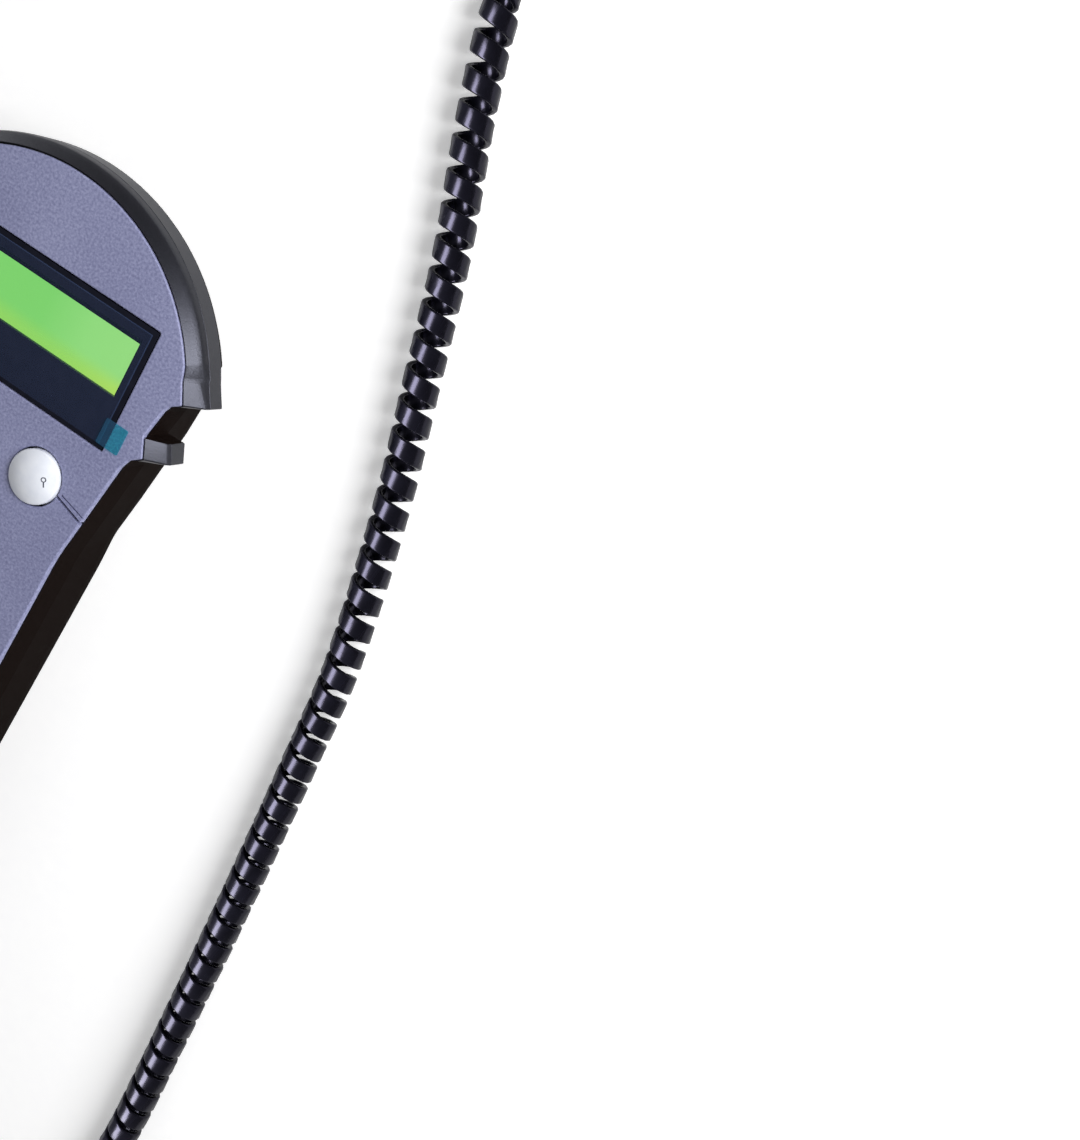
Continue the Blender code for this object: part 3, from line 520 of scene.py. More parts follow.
# The grip from the head down: half width and height above the head's centre, in shares of the
# head's radius, the rim's share there and the way it stands out, the section, the corner's radius.
grip = [
    (0.866, 0.482, 1.12, 24, (0.0036, 0.84, 0.0050), 0.0010),
    (0.870, 0.466, 1.19, 18, (0.0024, 0.79, 0.0046), 0.0002),
    (0.921, 0.370, 1.31, 18, (0.0034, 0.93, 0.0047), 0.0004),
    (0.870, 0.332, 0.0, 0, (0.0030, 0.90, 0.0046), 0.0005),
    (0.853, 0.294, 0.0, 0, (0.0030, 0.90, 0.0046), 0.0008),
    (0.827, 0.157, 0.0, 0, (0.0030, 0.90, 0.0046), 0.0002),
    (0.830, 0.147, 1.37, 10, (0.0032, 0.90, 0.0042), 0.0003),
    (0.870, 0.059, 1.39, 10, (0.0036, 0.92, 0.0045), 0.0004),
    (0.814, 0.016, 0.0, 0, (0.0030, 0.90, 0.0046), 0.0005),
    (0.793, -0.036, 0.0, 0, (0.0030, 0.90, 0.0046), 0.0015),
    (0.748, -0.347, 0.0, 0, (0.0030, 0.90, 0.0046), 0.0600),
    (0.712, -0.582, 0.0, 0, (0.0030, 0.90, 0.0046), 0.0500),
]
corner_steps = 6
arc_steps = 72
keys = [
    ("key_menu", -0.0209, 0.02715),
    ("key_enter", 0.0, 0.02715),
    ("key_back", 0.0209, 0.02715),
    ("key_up", 0.0, 0.01285),
    ("key_left", -0.0165, -0.00145),
    ("key_right", 0.0165, -0.00145),
    ("key_down", 0.0, -0.01575),
]
for i, name in enumerate(["1", "2", "3", "4", "5", "6", "7", "8", "9", "rate", "0", "info"]):
    keys.append(("key_" + name, (i % 3 - 1) * 0.0209, -0.03005 - (i // 3) * 0.0143))
key_hole = 0.0130


def corner(before, point, after, radius):
    """The round that takes the place of a corner, as the same count of points for any corner."""
    back, ahead = before - point, after - point
    shorter = min(back.length, ahead.length)
    reach = radius / max(math.tan(back.angle(ahead) / 2), 1e-3)
    reach = max(0.04 * shorter, min(reach, 0.46 * shorter))
    start, end = point + back.normalized() * reach, point + ahead.normalized() * reach
    steps = [i / corner_steps for i in range(corner_steps + 1)]
    return [start * (1 - t) ** 2 + point * 2 * t * (1 - t) + end * t**2 for t in steps]


def head_arc(radius):
    """The head's round on the right, from its top down."""
    turns = [math.pi / 2 + (arc_end - math.pi / 2) * i / arc_steps for i in range(arc_steps + 1)]
    return [Vector((radius * math.cos(a), head_y + radius * math.sin(a))) for a in turns]


def handle_end(inset=0.0, steps=24):
    """The handle's round corner at the lower right, from the side to the bottom's middle."""
    turns = [-math.pi / 2 * i / steps for i in range(steps + 1)]
    centre = Vector((handle_half - end_radius, case_bottom + end_radius))
    return [centre + (end_radius - inset) * Vector((math.cos(a), math.sin(a))) for a in turns]


def rounded_side(first, corners, last):
    """The side between two points, through (point, radius) corners."""
    points = [first, *[p for p, _ in corners], last]
    side = []
    for i, (_, radius) in enumerate(corners):
        side += corner(points[i], points[i + 1], points[i + 2], radius)
    return side


def mirrored(right):
    """Closes a right-hand outline that starts at the top's middle and ends at the bottom edge."""
    return right + [Vector((-p.x, p.y)) for p in reversed(right[1:])]


def front_outline(rim, spread=0.0):
    """The shell's outline with the rim standing out by the given width, right half."""
    arc, end = head_arc(head_radius + rim + spread), handle_end(-spread)
    corners = []
    for x, y, share, turn, _, radius in grip:
        out = share * rim * Vector((math.cos(math.radians(turn)), math.sin(math.radians(turn))))
        corners.append((Vector((x * head_radius + spread, head_y + y * head_radius)) + out, radius))
    corners.append((waist + Vector((spread, 0)), 0.060))
    return arc + rounded_side(arc[-1], corners, end[0]) + end


def plate(name, outlines, low, high, bevel=0.0, looks=()):
    """A flat piece between two heights. The first outline is its edge, the others are holes."""
    curve = bpy.data.curves.new(name, "CURVE")
    curve.dimensions = "2D"
    curve.fill_mode = "BOTH"
    curve.extrude = (high - low) / 2 - bevel
    curve.bevel_depth = bevel
    curve.bevel_resolution = 2
    curve.offset = -bevel
    for outline in outlines:
        spline = curve.splines.new("POLY")
        spline.points.add(len(outline) - 1)
        for point, (x, y) in zip(spline.points, outline):
            point.co = (x, y, 0.0, 1.0)
        spline.use_cyclic_u = True
    shape = bpy.data.objects.new(name, curve)
    scene.collection.objects.link(shape)
    mesh = evaluated(shape)
    bpy.data.objects.remove(shape)
    bpy.data.curves.remove(curve)
    bm = bmesh.new()
    bm.from_mesh(mesh)
    bpy.data.meshes.remove(mesh)
    bmesh.ops.remove_doubles(bm, verts=bm.verts, dist=1e-6)
    bmesh.ops.recalc_face_normals(bm, faces=bm.faces)
    bmesh.ops.translate(bm, verts=bm.verts, vec=(0, 0, (low + high) / 2))
    for face in bm.faces:
        face.material_index = 0
    return settle(name, bm, looks)


def bars(name, centres, diameter, low, high, sides=48):
    """Upright cylinders in one cutter."""
    bm = bmesh.new()
    for x, y in centres:
        cone = bmesh.ops.create_cone(
            bm, cap_ends=True, segments=sides, radius1=diameter / 2, radius2=diameter / 2, depth=high - low
        )
        bmesh.ops.translate(bm, verts=cone["verts"], vec=(x, y, (low + high) / 2))
    return settle(name, bm, [])


def carved(piece, *steps):
    """The piece after it was cut by, or joined with, each tool in turn. The tools are removed."""
    for operation, tool in steps:
        cut = piece.modifiers.new(tool.name, "BOOLEAN")
        cut.operation, cut.object, cut.solver = operation, tool, "EXACT"
    mesh = evaluated(piece)
    piece.modifiers.clear()
    piece.data = mesh
    shaded(mesh)
    for _, tool in steps:
        bpy.data.objects.remove(tool)
    return piece


# ABS with a semi-gloss moulded face: a lightly sparked grain about 0.25 mm wide, with handling
# shine that varies over centimetres.
charcoal, tree, coords = new_finish("charcoal_abs_semi_gloss")
spark = add(tree, "ShaderNodeTexNoise", {"Vector": coords, "Scale": 2600.0, "Detail": 3.0})
shine = add(tree, "ShaderNodeTexNoise", {"Vector": coords, "Scale": 60.0, "Detail": 3.0})
tone = add(tree, "ShaderNodeValToRGB", {"Fac": spark}, [(0.3, "#0E0E11"), (0.75, "#18181C")])
handled = add(tree, "ShaderNodeMapRange", {"Value": shine, "To Min": 0.32, "To Max": 0.44})
grain = add(tree, "ShaderNodeBump", {"Height": spark, "Strength": 0.22, "Distance": 0.0001})
shader = add(
    tree,
    "ShaderNodeBsdfPrincipled",
    {"Base Color": tone, "Roughness": handled, "Normal": grain, "IOR": 1.53, "Specular Tint": "#E6E9FF"},
)
add(tree, "ShaderNodeOutputMaterial", {"Surface": shader})

# The same ABS where the mould was left rough for grip: matt, and coloured darker and a little brown as
# painted shade for the walls that face away from the light.
matt_charcoal_painted_shade = grained(
    "charcoal_abs_matt_painted_shade", 2600.0, 3.0, [(0.3, "#100A08"), (0.75, "#191210")],
    rough=(0.6, 0.75), shine={"Specular IOR Level": 0.01}, bump=(0.3, 0.0002),
)

face_edge, rim_edge = front_outline(0.0), front_outline(rim_width)
columns = [(head_section, 0)] * (arc_steps + 1)
# Columns where the rim has no share, the notches and the handle's sides, take the matt charcoal with painted
# shade.
for _, _, share, _, section, _ in grip:
    columns += [(section, 0 if share else 1)] * (corner_steps + 1)
columns += [(head_section, 1)] * (len(face_edge) - len(columns))


def rim_ring(chamfer, strip=0.0, below=0.0, inward=0.0):
    """A ring of the rim, at a share of the way down the chamfer and then of the strip below the ridge."""
    right = []
    for edge, rim, ((ridge_drop, ridge_reach, line_drop), _) in zip(face_edge, rim_edge, columns):
        reach = rim_land + (ridge_reach - rim_land) * chamfer + (1 - ridge_reach) * strip
        fall = ridge_drop * chamfer + (line_drop - ridge_drop) * strip
        place = edge.lerp(rim, reach)
        if inward and (rim - edge).length > 1e-5:
            place = place - (rim - edge).normalized() * inward
        right.append((place.x, place.y, case_top - 0.00005 - fall - below))
    return right + [(-x, y, z) for x, y, z in reversed(right[1:])]


rim_rings = [[(p.x, p.y, parting) for p in mirrored(rim_edge)]]
rim_rings += [rim_ring(1.0, 1.0, 0.00025), rim_ring(1.0, 1.0, 0.00012, 0.0002), rim_ring(1.0, 1.0)]
rim_rings += [rim_ring(1.0, 0.5), rim_ring(1.0, 0.08)]
rim_rings += [rim_ring(share) for share in (0.95, 0.65, 0.33, 0.0)]
zones = [zone for _, zone in columns]
zones = zones + list(reversed(zones[1:]))
front_case = skin("front_shell", rim_rings, [charcoal, matt_charcoal_painted_shade], zones)

cavity_edge = [(0.838, 0.278), (0.805, 0.064), (0.742, -0.348), (0.706, -0.582)]
wall = 0.0022


def rear_outline(head_inset, side_inset):
    """The rear case's outline, which has no teeth, inset from its widest."""
    shares = [0.15, 0.05, 0.0, 0.0]
    arc, end = head_arc(head_radius + rim_width - head_inset), handle_end(side_inset)
    corners = []
    for (x, y), share in zip(cavity_edge, shares):
        inset = share * head_inset + (1 - share) * side_inset
        corners.append((Vector((x * head_radius - inset, head_y + y * head_radius)), 0.020))
    corners.append((waist - Vector((side_inset, 0)), 0.060))
    return arc + rounded_side(arc[-1], corners, end[0]) + end


key_places = [(x, y) for _, x, y in keys]
view_half, view_low, view_high = 0.0284, 0.05075, 0.0652
view_edge = rounded(-view_half, view_low, view_half, view_high, 0.0003, 2)
carved(
    front_case,
    ("DIFFERENCE", plate("pocket", [mirrored(front_outline(0.0, 0.00045))], pocket_floor, case_top + 0.002)),
    ("DIFFERENCE", plate("cavity", [mirrored(rear_outline(wall, wall))], parting - 0.002, roof_under)),
    ("DIFFERENCE", bars("key_holes", key_places, key_hole, roof_under - 0.002, case_top + 0.002)),
    ("DIFFERENCE", plate("view", [view_edge], roof_under - 0.002, case_top + 0.002)),
)
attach(front_case, "controller")
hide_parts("front_case")

# ------------------------------------------------------------------------- Rear case
# The back shell in the same ABS, textured all over and drawn in the matt charcoal whose darker, brownish
# colour is painted shade. It narrows to a flat back, with deep screw sinks and a round hole for the boot in
# its lower end.
back_head_inset, back_side_inset = 0.0110, 0.0030
rear_levels = [
    (0.0, 1.10),
    (0.0003, 1.045),
    (0.0009, 1.0),
    (0.0025, 0.82),
    (0.0050, 0.68),
    (0.0080, 0.55),
    (0.0110, 0.40),
    (0.0140, 0.265),
    (0.0165, 0.15),
    (0.0185, 0.055),
    (0.0197, 0.0),
]
case_screws = [(s * 0.012, 0.07455) for s in (-1, 1)] + [(s * 0.01045, -0.08355) for s in (-1, 1)]


def rear_ring(z, share, inset=0.0):
    edge = mirrored(rear_outline(share * back_head_inset + inset, 0.0003 + share * back_side_inset + inset))
    return [(p.x, p.y, z) for p in edge]


def end_bar(name, diameter, low, high):
    """A cylinder along Y at the boot's height."""
    profile = [(diameter / 2, low - case_bottom), (diameter / 2, high - case_bottom)]
    return skin(name, round_rings(profile, Vector((0, case_bottom, 0.0115)), Vector((0, 1, 0))))


rear_case = skin("rear_shell", [rear_ring(z, share) for z, share in rear_levels], [matt_charcoal_painted_shade])
inside = [(wall, 0.82)] + [level for level in rear_levels if level[0] > 0.0025] + [(parting + 0.002, 0.0)]
carved(
    rear_case,
    ("DIFFERENCE", skin("hollow", [rear_ring(z, share, wall) for z, share in inside])),
    ("UNION", bars("towers", case_screws, 0.0084, wall / 2, 0.014)),
    ("UNION", end_bar("collar", 0.0144, case_bottom + 0.0003, case_bottom + 0.0073)),
    ("DIFFERENCE", bars("sinks", case_screws, 0.0058, -0.002, 0.0069)),
    ("DIFFERENCE", bars("shank_holes", case_screws, 0.0032, 0.0, 0.016, 24)),
    ("DIFFERENCE", end_bar("boot_hole", 0.0076, case_bottom - 0.002, case_bottom + 0.0093)),
)
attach(rear_case, "controller")
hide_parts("rear_case")

# ------------------------------------------------------------------------ Face plate
# A 1.6 mm plate in lavender-grey ABS that drops into the front case's pocket. Its edges are
# eased, and a deep and a shallow groove run out from each outer key of the first row.
window_half, window_low, window_high = 0.0316, 0.04065, 0.06895


def slit(start, end, width):
    """A thin slot with square ends, as an outline."""
    a, b = Vector(start), Vector(end)
    along = (b - a).normalized()
    side = Vector((-along.y, along.x)) * width / 2
    return [a - side, b - side, b + side, a + side]


def circle(x, y, diameter, count=64):
    turns = [2 * math.pi * i / count for i in range(count)]
    return [(x + diameter / 2 * math.cos(a), y + diameter / 2 * math.sin(a)) for a in turns]


# ABS, moulded with a spark texture: lavender grey with a cool speckle about half a millimetre
# wide, a soft sheen and no gloss.
face_grey, tree, coords = new_finish("lavender_grey_abs_sparked")
speckle = add(
    tree, "ShaderNodeTexNoise", {"Vector": coords, "Scale": 1700.0, "Detail": 3.0, "Roughness": 0.6}
)
cloud = add(tree, "ShaderNodeTexNoise", {"Vector": coords, "Scale": 45.0, "Detail": 2.0})
blend = add(tree, "ShaderNodeMath", {0: cloud, 1: 0.2}, operation="MULTIPLY")
mix = add(tree, "ShaderNodeMath", {0: speckle, 1: 0.8, 2: blend}, operation="MULTIPLY_ADD")
tone = add(
    tree, "ShaderNodeValToRGB", {"Fac": mix}, [(0.32, "#74769A"), (0.5, "#8A8DB1"), (0.68, "#A1A4C6")]
)
sheen = add(tree, "ShaderNodeMapRange", {"Value": speckle, "To Min": 0.46, "To Max": 0.66})
spark = add(tree, "ShaderNodeBump", {"Height": speckle, "Strength": 0.3, "Distance": 0.0001})
shader = add(
    tree, "ShaderNodeBsdfPrincipled", {"Base Color": tone, "Roughness": sheen, "Normal": spark, "IOR": 1.53}
)
add(tree, "ShaderNodeOutputMaterial", {"Surface": shader})

opening = rounded(
    -window_half - 0.0003, window_low - 0.0003, window_half + 0.0003, window_high + 0.0003, 0.0005
)
face_holes = [circle(x, y, key_hole) for x, y in key_places] + [opening]
face_plate = plate(
    "face_panel", [mirrored(face_edge), *face_holes], case_top - 0.0016, case_top, 0.0003, [face_grey]
)
deep = [slit((s * 0.02667, 0.02641), (s * 0.03555, 0.02387), 0.00075) for s in (-1, 1)]
shallow = [slit((s * 0.02833, 0.02710), (s * 0.03570, 0.02526), 0.00040) for s in (-1, 1)]
carved(
    face_plate,
    ("DIFFERENCE", plate("deep_grooves", deep, case_top - 0.0020, case_top + 0.001)),
    ("DIFFERENCE", plate("shallow_grooves", shallow, case_top - 0.0005, case_top + 0.001)),
)
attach(face_plate, "controller")
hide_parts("face_plate")

# ------------------------------------------------------------------- Display window
# A 1.4 mm acrylic window let into the face plate. It is printed black behind, apart from a
# clear view over the panel.
pane_half, pane_low, pane_high = 0.0289, 0.0519, 0.0656

# Acrylic with black back print: deep navy black, polished, with hairline scuffs.
smoked = grained(
    "back_printed_acrylic_polished", 420.0, 5.0, [(0.3, "#171821"), (0.7, "#1D1E29")],
    rough=(0.05, 0.13), shine={"Specular IOR Level": 0.04},
)

# The same acrylic left clear over the panel.
clear = grained(
    "clear_acrylic_polished", 420.0, 5.0, [(0.3, "#2A3A30"), (0.7, "#33463A")],
    rough=(0.04, 0.1), shine={"Specular IOR Level": 0.2, "Alpha": 0.05},
)

window_edge = rounded(-window_half, window_low, window_half, window_high, 0.0003)
pane_edge = rounded(-pane_half, pane_low, pane_half, pane_high, 0.0004, 3)
window = plate("window_frame", [window_edge, pane_edge], 0.0284, 0.0298, 0.0001, [smoked])
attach(window, "controller")
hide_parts("display_window")
pane_edge = rounded(-pane_half + 2e-5, pane_low + 2e-5, pane_half - 2e-5, pane_high - 2e-5, 0.0004, 3)
pane = plate("window_pane", [pane_edge], 0.0284, 0.0298, 0.0, [clear])
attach(pane, "controller")

# --------------------------------------------------------------------- Display panel
# A backlit character display: a glass sandwich in a black sheet-steel bezel, over an acrylic
# light guide. All four are stacked under the window on the display board.

# Lit display glass: green, yellower to the right and along its lower edge, faintly cloudy.
panel_green, tree, coords = new_finish("green_display_glass_lit")
place = add(tree, "ShaderNodeSeparateXYZ", {"Vector": coords})
across = add(tree, "ShaderNodeMapRange", {"Value": place, "From Min": 0.002, "From Max": 0.026})
low = add(
    tree,
    "ShaderNodeMapRange",
    {"Value": place.outputs["Y"], "From Min": 0.0512, "From Max": 0.0556, "To Min": 1.0, "To Max": 0.0},
    interpolation_type="SMOOTHSTEP",
)
upper = add(
    tree, "ShaderNodeValToRGB", {"Fac": across}, [(0.05, "#82DA6A"), (0.55, "#96E37C"), (1.0, "#9BE47F")]
)
lower = add(
    tree, "ShaderNodeValToRGB", {"Fac": across}, [(0.2, "#97DE60"), (0.6, "#A2E15F"), (1.0, "#B4E65E")]
)
lit = add(tree, "ShaderNodeMix", {"Factor": low, "A": upper, "B": lower}, data_type="RGBA")
cells = add(tree, "ShaderNodeTexNoise", {"Vector": coords, "Scale": 700.0, "Detail": 1.0})
tone = add(tree, "ShaderNodeValToRGB", {"Fac": cells}, [(0.3, "#0C1C0B"), (0.7, "#122613")])
shader = add(
    tree,
    "ShaderNodeBsdfPrincipled",
    {
        "Base Color": tone,
        "Roughness": 0.3,
        "Specular IOR Level": 0.2,
        "Emission Color": lit.outputs["Result"],
        "Emission Strength": 1.12,
    },
)
add(tree, "ShaderNodeOutputMaterial", {"Surface": shader})
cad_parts["display_panel"].data.materials[0] = panel_green

# Sheet steel, blacked: dark, satin, with fine rolling streaks along its length.
bezel_black, tree, coords = new_finish("black_painted_sheet_steel")
stretched = add(tree, "ShaderNodeMapping", {"Vector": coords, "Scale": (60.0, 2400.0, 2400.0)})
streaks = add(tree, "ShaderNodeTexNoise", {"Vector": stretched, "Scale": 1.0, "Detail": 3.0})
tone = add(tree, "ShaderNodeValToRGB", {"Fac": streaks}, [(0.3, "#0B0B0E"), (0.7, "#131317")])
satin = add(tree, "ShaderNodeMapRange", {"Value": streaks, "To Min": 0.5, "To Max": 0.7})
shader = add(
    tree, "ShaderNodeBsdfPrincipled", {"Base Color": tone, "Roughness": satin, "Specular IOR Level": 0.1}
)
add(tree, "ShaderNodeOutputMaterial", {"Surface": shader})
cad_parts["display_bezel"].data.materials[0] = bezel_black

# Acrylic light guide: milky, with a printed dot pattern that scatters the light.
guide_milky, tree, coords = new_finish("light_guide_acrylic_printed")
dots = add(tree, "ShaderNodeTexVoronoi", {"Vector": coords, "Scale": 1200.0, "Randomness": 0.2})
tone = add(tree, "ShaderNodeValToRGB", {"Fac": dots}, [(0.25, "#F4F6F2"), (0.4, "#D6DED4")])
shader = add(tree, "ShaderNodeBsdfPrincipled", {"Base Color": tone, "Roughness": 0.3, "IOR": 1.49})
add(tree, "ShaderNodeOutputMaterial", {"Surface": shader})
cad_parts["light_guide"].data.materials[0] = guide_milky

# -------------------------------------------------------------------- Protective film
# A clear polyester film that still lies on the window from the factory, with a teal pull tab
# that reaches over the face plate at the lower right.
film_half, film_low, film_high = 0.0306, 0.04165, 0.06795
tab_x, tab_high, tab_start = 0.0355, 0.0476, 0.0298
film_z, film_thickness = 0.03004, 0.00012

# Polyester film: clear with a cool blue cast, and a painted highlight that makes it a little whiter along its
# cut edge.
film_clear, tree, coords = new_finish("clear_polyester_film")
place = add(tree, "ShaderNodeSeparateXYZ", {"Vector": coords})
side = add(tree, "ShaderNodeMath", {0: place}, operation="ABSOLUTE")
from_side = add(tree, "ShaderNodeMath", {0: film_half, 1: side}, operation="SUBTRACT")
from_top = add(tree, "ShaderNodeMath", {0: film_high, 1: place.outputs["Y"]}, operation="SUBTRACT")
nearest = add(tree, "ShaderNodeMath", {0: from_side, 1: from_top}, operation="MINIMUM")
# The film turns more opaque within about 0.3 mm of its side and top edges: a painted highlight along its cut
# edge.
painted_edge_highlight = add(
    tree,
    "ShaderNodeMapRange",
    {"Value": nearest, "From Min": 0.00015, "From Max": 0.0003, "To Min": 0.22, "To Max": 0.07},
)
creases = add(tree, "ShaderNodeTexNoise", {"Vector": coords, "Scale": 90.0, "Detail": 3.0})
tone = add(tree, "ShaderNodeValToRGB", {"Fac": creases}, [(0.3, "#4A5B85"), (0.7, "#53648F")])
shader = add(
    tree,
    "ShaderNodeBsdfPrincipled",
    {"Base Color": tone, "Alpha": painted_edge_highlight, "Roughness": 0.25, "Specular IOR Level": 0.1},
)
add(tree, "ShaderNodeOutputMaterial", {"Surface": shader})

# The tab: the film dyed teal, so that the window's edge shows through it.
film_teal, tree, coords = new_finish("teal_dyed_film")
dye = add(tree, "ShaderNodeTexNoise", {"Vector": coords, "Scale": 500.0, "Detail": 4.0})
tone = add(tree, "ShaderNodeValToRGB", {"Fac": dye}, [(0.3, "#82AEF4"), (0.7, "#8CB8FF")])
through = add(tree, "ShaderNodeValToRGB", {"Fac": dye}, [(0.3, "#B8F4EF"), (0.7, "#C0F7F3")])
body = add(
    tree, "ShaderNodeBsdfPrincipled", {"Base Color": tone, "Roughness": 0.3, "Specular IOR Level": 0.2}
)
filtered = add(tree, "ShaderNodeBsdfTransparent", {"Color": through})
shader = add(tree, "ShaderNodeMixShader", {"Fac": 0.06, 1: filtered, 2: body})
add(tree, "ShaderNodeOutputMaterial", {"Surface": shader})

film_edge = [
    (-film_half, film_low),
    (film_half, film_low),
    (film_half, film_high),
    (-film_half, film_high),
]
film = plate("window_film", [film_edge], film_z, film_z + film_thickness, 0.0, [film_clear])
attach(film, "controller")
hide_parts("screen_film")
tab_edge = rounded(tab_start, film_low, tab_x, tab_high, 0.0003, 3)
tab = plate("pull_tab", [tab_edge], film_z + 0.00014, film_z + 0.0003, 0.00003, [film_teal])
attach(tab, "controller")

# ------------------------------------------------------------------------------ Keys
# Nineteen domed caps in white silicone rubber with a retaining lip under the case's roof,
# each pressed on the mat below it. Legends are printed in grey and follow the dome.
key_radius, key_top, dome_drop = 0.0061, 0.0323, 0.0016
flange_radius, flange_top, flange_low = 0.0069, 0.0258, 0.0246


def dome(radius):
    """The cap's height at a distance from its axis."""
    return key_top - dome_drop * (radius / key_radius) ** 2.2


# Silicone rubber, moulded and lacquered: cool white, smooth, with a soft broad gloss.
key_white = grained(
    "white_silicone_lacquered", 350.0, 3.0, [(0.3, "#E6EAF4"), (0.7, "#F1F4FB")],
    rough=(0.3, 0.42), shine={"IOR": 1.43},
)

# Pad-printed ink: dark grey, matt, a little uneven.
legend_grey = grained(
    "grey_pad_print", 3000.0, 2.0, [(0.3, "#454754"), (0.7, "#565866")],
    rough=(0.5, 0.7), shine={},
)


def stroke(points, width):
    """A line of the given width through points, as outlines of its spans."""
    return [slit(a, b, width) for a, b in zip(points, points[1:])]


def ring_marks(x, y, radius, width, start=0.0, turn=2 * math.pi, count=24):
    turns = [start + turn * i / count for i in range(count + 1)]
    return stroke([(x + radius * math.cos(a), y + radius * math.sin(a)) for a in turns], width)


thin = 0.0003
marks = {
    "key_menu": [slit((-0.0012, y), (0.0012, y), thin) for y in (-0.0009, 0.0, 0.0009)],
    "key_enter": stroke([(-0.0014, 0.0001), (-0.0004, -0.0010), (0.0015, 0.0011)], thin),
    "key_back": ring_marks(0.0031, 0.0013, 0.00047, 0.00022)
    + stroke([(0.0033, 0.0009), (0.0038, -0.0002)], 0.00026),
    "key_up": [[(-0.0015, -0.0009), (0.0015, -0.0009), (0.0, 0.0014)]],
    "key_down": [[(-0.0015, 0.0009), (0.0, -0.0014), (0.0015, 0.0009)]],
    "key_left": [[(0.0009, -0.0015), (0.0009, 0.0015), (-0.0014, 0.0)]],
    "key_right": [[(-0.0009, -0.0015), (0.0014, 0.0), (-0.0009, 0.0015)]],
    "key_rate": stroke([(-0.0014, -0.0011), (-0.0002, 0.0), (-0.0014, 0.0011)], thin)
    + stroke([(0.0002, -0.0011), (0.0014, 0.0), (0.0002, 0.0011)], thin),
    "key_info": ring_marks(0.0, 0.0, 0.0015, 0.00026)
    + [slit((0.0, -0.0008), (0.0, 0.0002), thin), slit((0.0, 0.0005), (0.0, 0.0008), thin)],
}


def digit_faces(bm, figure, size):
    """Adds a figure's flat faces, centred on the origin."""
    text = bpy.data.curves.new("figure", "FONT")
    text.body, text.size = figure, size
    text.align_x, text.align_y = "CENTER", "CENTER"
    shape = bpy.data.objects.new("figure", text)
    scene.collection.objects.link(shape)
    mesh = evaluated(shape)
    bpy.data.objects.remove(shape)
    bpy.data.curves.remove(text)
    bm.from_mesh(mesh)
    bpy.data.meshes.remove(mesh)


def legend(name):
    """The print on a key as a thin closed layer that follows its dome, about the key's axis."""
    bm = bmesh.new()
    if name in marks:
        for outline in marks[name]:
            bm.faces.new([bm.verts.new((x, y, 0)) for x, y in outline])
    else:
        digit_faces(bm, name[-1], 0.0048)
    bmesh.ops.remove_doubles(bm, verts=bm.verts, dist=1e-7)
    bmesh.ops.triangulate(bm, faces=bm.faces)
    for _ in range(3):
        long_edges = [e for e in bm.edges if e.calc_length() > 0.0006]
        if long_edges:
            bmesh.ops.subdivide_edges(bm, edges=long_edges, cuts=1)
            bmesh.ops.triangulate(bm, faces=bm.faces)
    for face in bm.faces:
        if face.normal.z < 0:
            face.normal_flip()
    top = bm.faces[:]
    lower = bmesh.ops.extrude_face_region(bm, geom=top)
    sunk = {v for v in lower["geom"] if isinstance(v, bmesh.types.BMVert)}
    for v in bm.verts:
        v.co.z = dome(math.hypot(v.co.x, v.co.y)) + (0.00003 if v in sunk else -0.00003)
    bmesh.ops.recalc_face_normals(bm, faces=bm.faces)
    for face in bm.faces:
        face.material_index = 1
    mesh = bpy.data.meshes.new(name)
    bm.to_mesh(mesh)
    bm.free()
    return mesh


edge_round = 0.0005
cap_profile = [(0.0002, flange_low), (flange_radius, flange_low)]
cap_profile += [(flange_radius, flange_top), (key_radius, flange_top)]
rim_z = dome(key_radius - edge_round)
for i in range(5):
    a = math.radians(90 * i / 4) * 0.83
    cap_profile.append(
        (key_radius - edge_round + edge_round * math.cos(a), rim_z - edge_round * (1 - math.sin(a)) - 0.00005)
    )
cap_profile += [(key_radius * (0.88 - 0.06 * i), dome(key_radius * (0.88 - 0.06 * i))) for i in range(14)]
cap_profile.append((0.0002, dome(0.0002)))
for name, x, y in keys:
    cap = skin(
        name.replace("key", "cap"),
        round_rings(cap_profile, Vector((0, 0, 0)), up, 64),
        [key_white, legend_grey],
    )
    joined(cap, legend(name))
    cap.data.transform(Matrix.Translation((x, y, 0)))
    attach(cap, name)
    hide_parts(name)

# ------------------------------------------------------------- Key mat, boards, parts
# Inside the case: a grey silicone mat under the keys, the main board with its processor and
# cord header, the display board, and the ribbon that joins the two.

# Silicone rubber, press moulded: mid grey, dull and dusty.
mat_grey = grained(
    "grey_silicone_press_moulded", 900.0, 4.0, [(0.3, "#8A8A8E"), (0.7, "#9C9CA0")],
    rough=(0.6, 0.8), shine={"IOR": 1.43},
)
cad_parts["key_mat"].data.materials[0] = mat_grey

# Glass-fibre board under green solder mask: the weave shows as a 0.5 mm check.
board_green, tree, coords = new_finish("glass_fibre_board_masked")
weave = add(
    tree,
    "ShaderNodeTexChecker",
    {"Vector": coords, "Scale": 2000.0, "Color1": "#0E4A28", "Color2": "#125730"},
)
shader = add(tree, "ShaderNodeBsdfPrincipled", {"Base Color": weave, "Roughness": 0.35})
add(tree, "ShaderNodeOutputMaterial", {"Surface": shader})
for name in ("main_board", "display_board"):
    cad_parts[name].data.materials[0] = board_green

# Epoxy, transfer moulded: black, matt, faintly mottled by its filler.
chip_black = grained(
    "black_epoxy_moulded", 4000.0, 2.0, [(0.3, "#17171A"), (0.7, "#232327")],
    rough=(0.5, 0.65), shine={"IOR": 1.55},
)
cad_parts["processor_chip"].data.materials[0] = chip_black

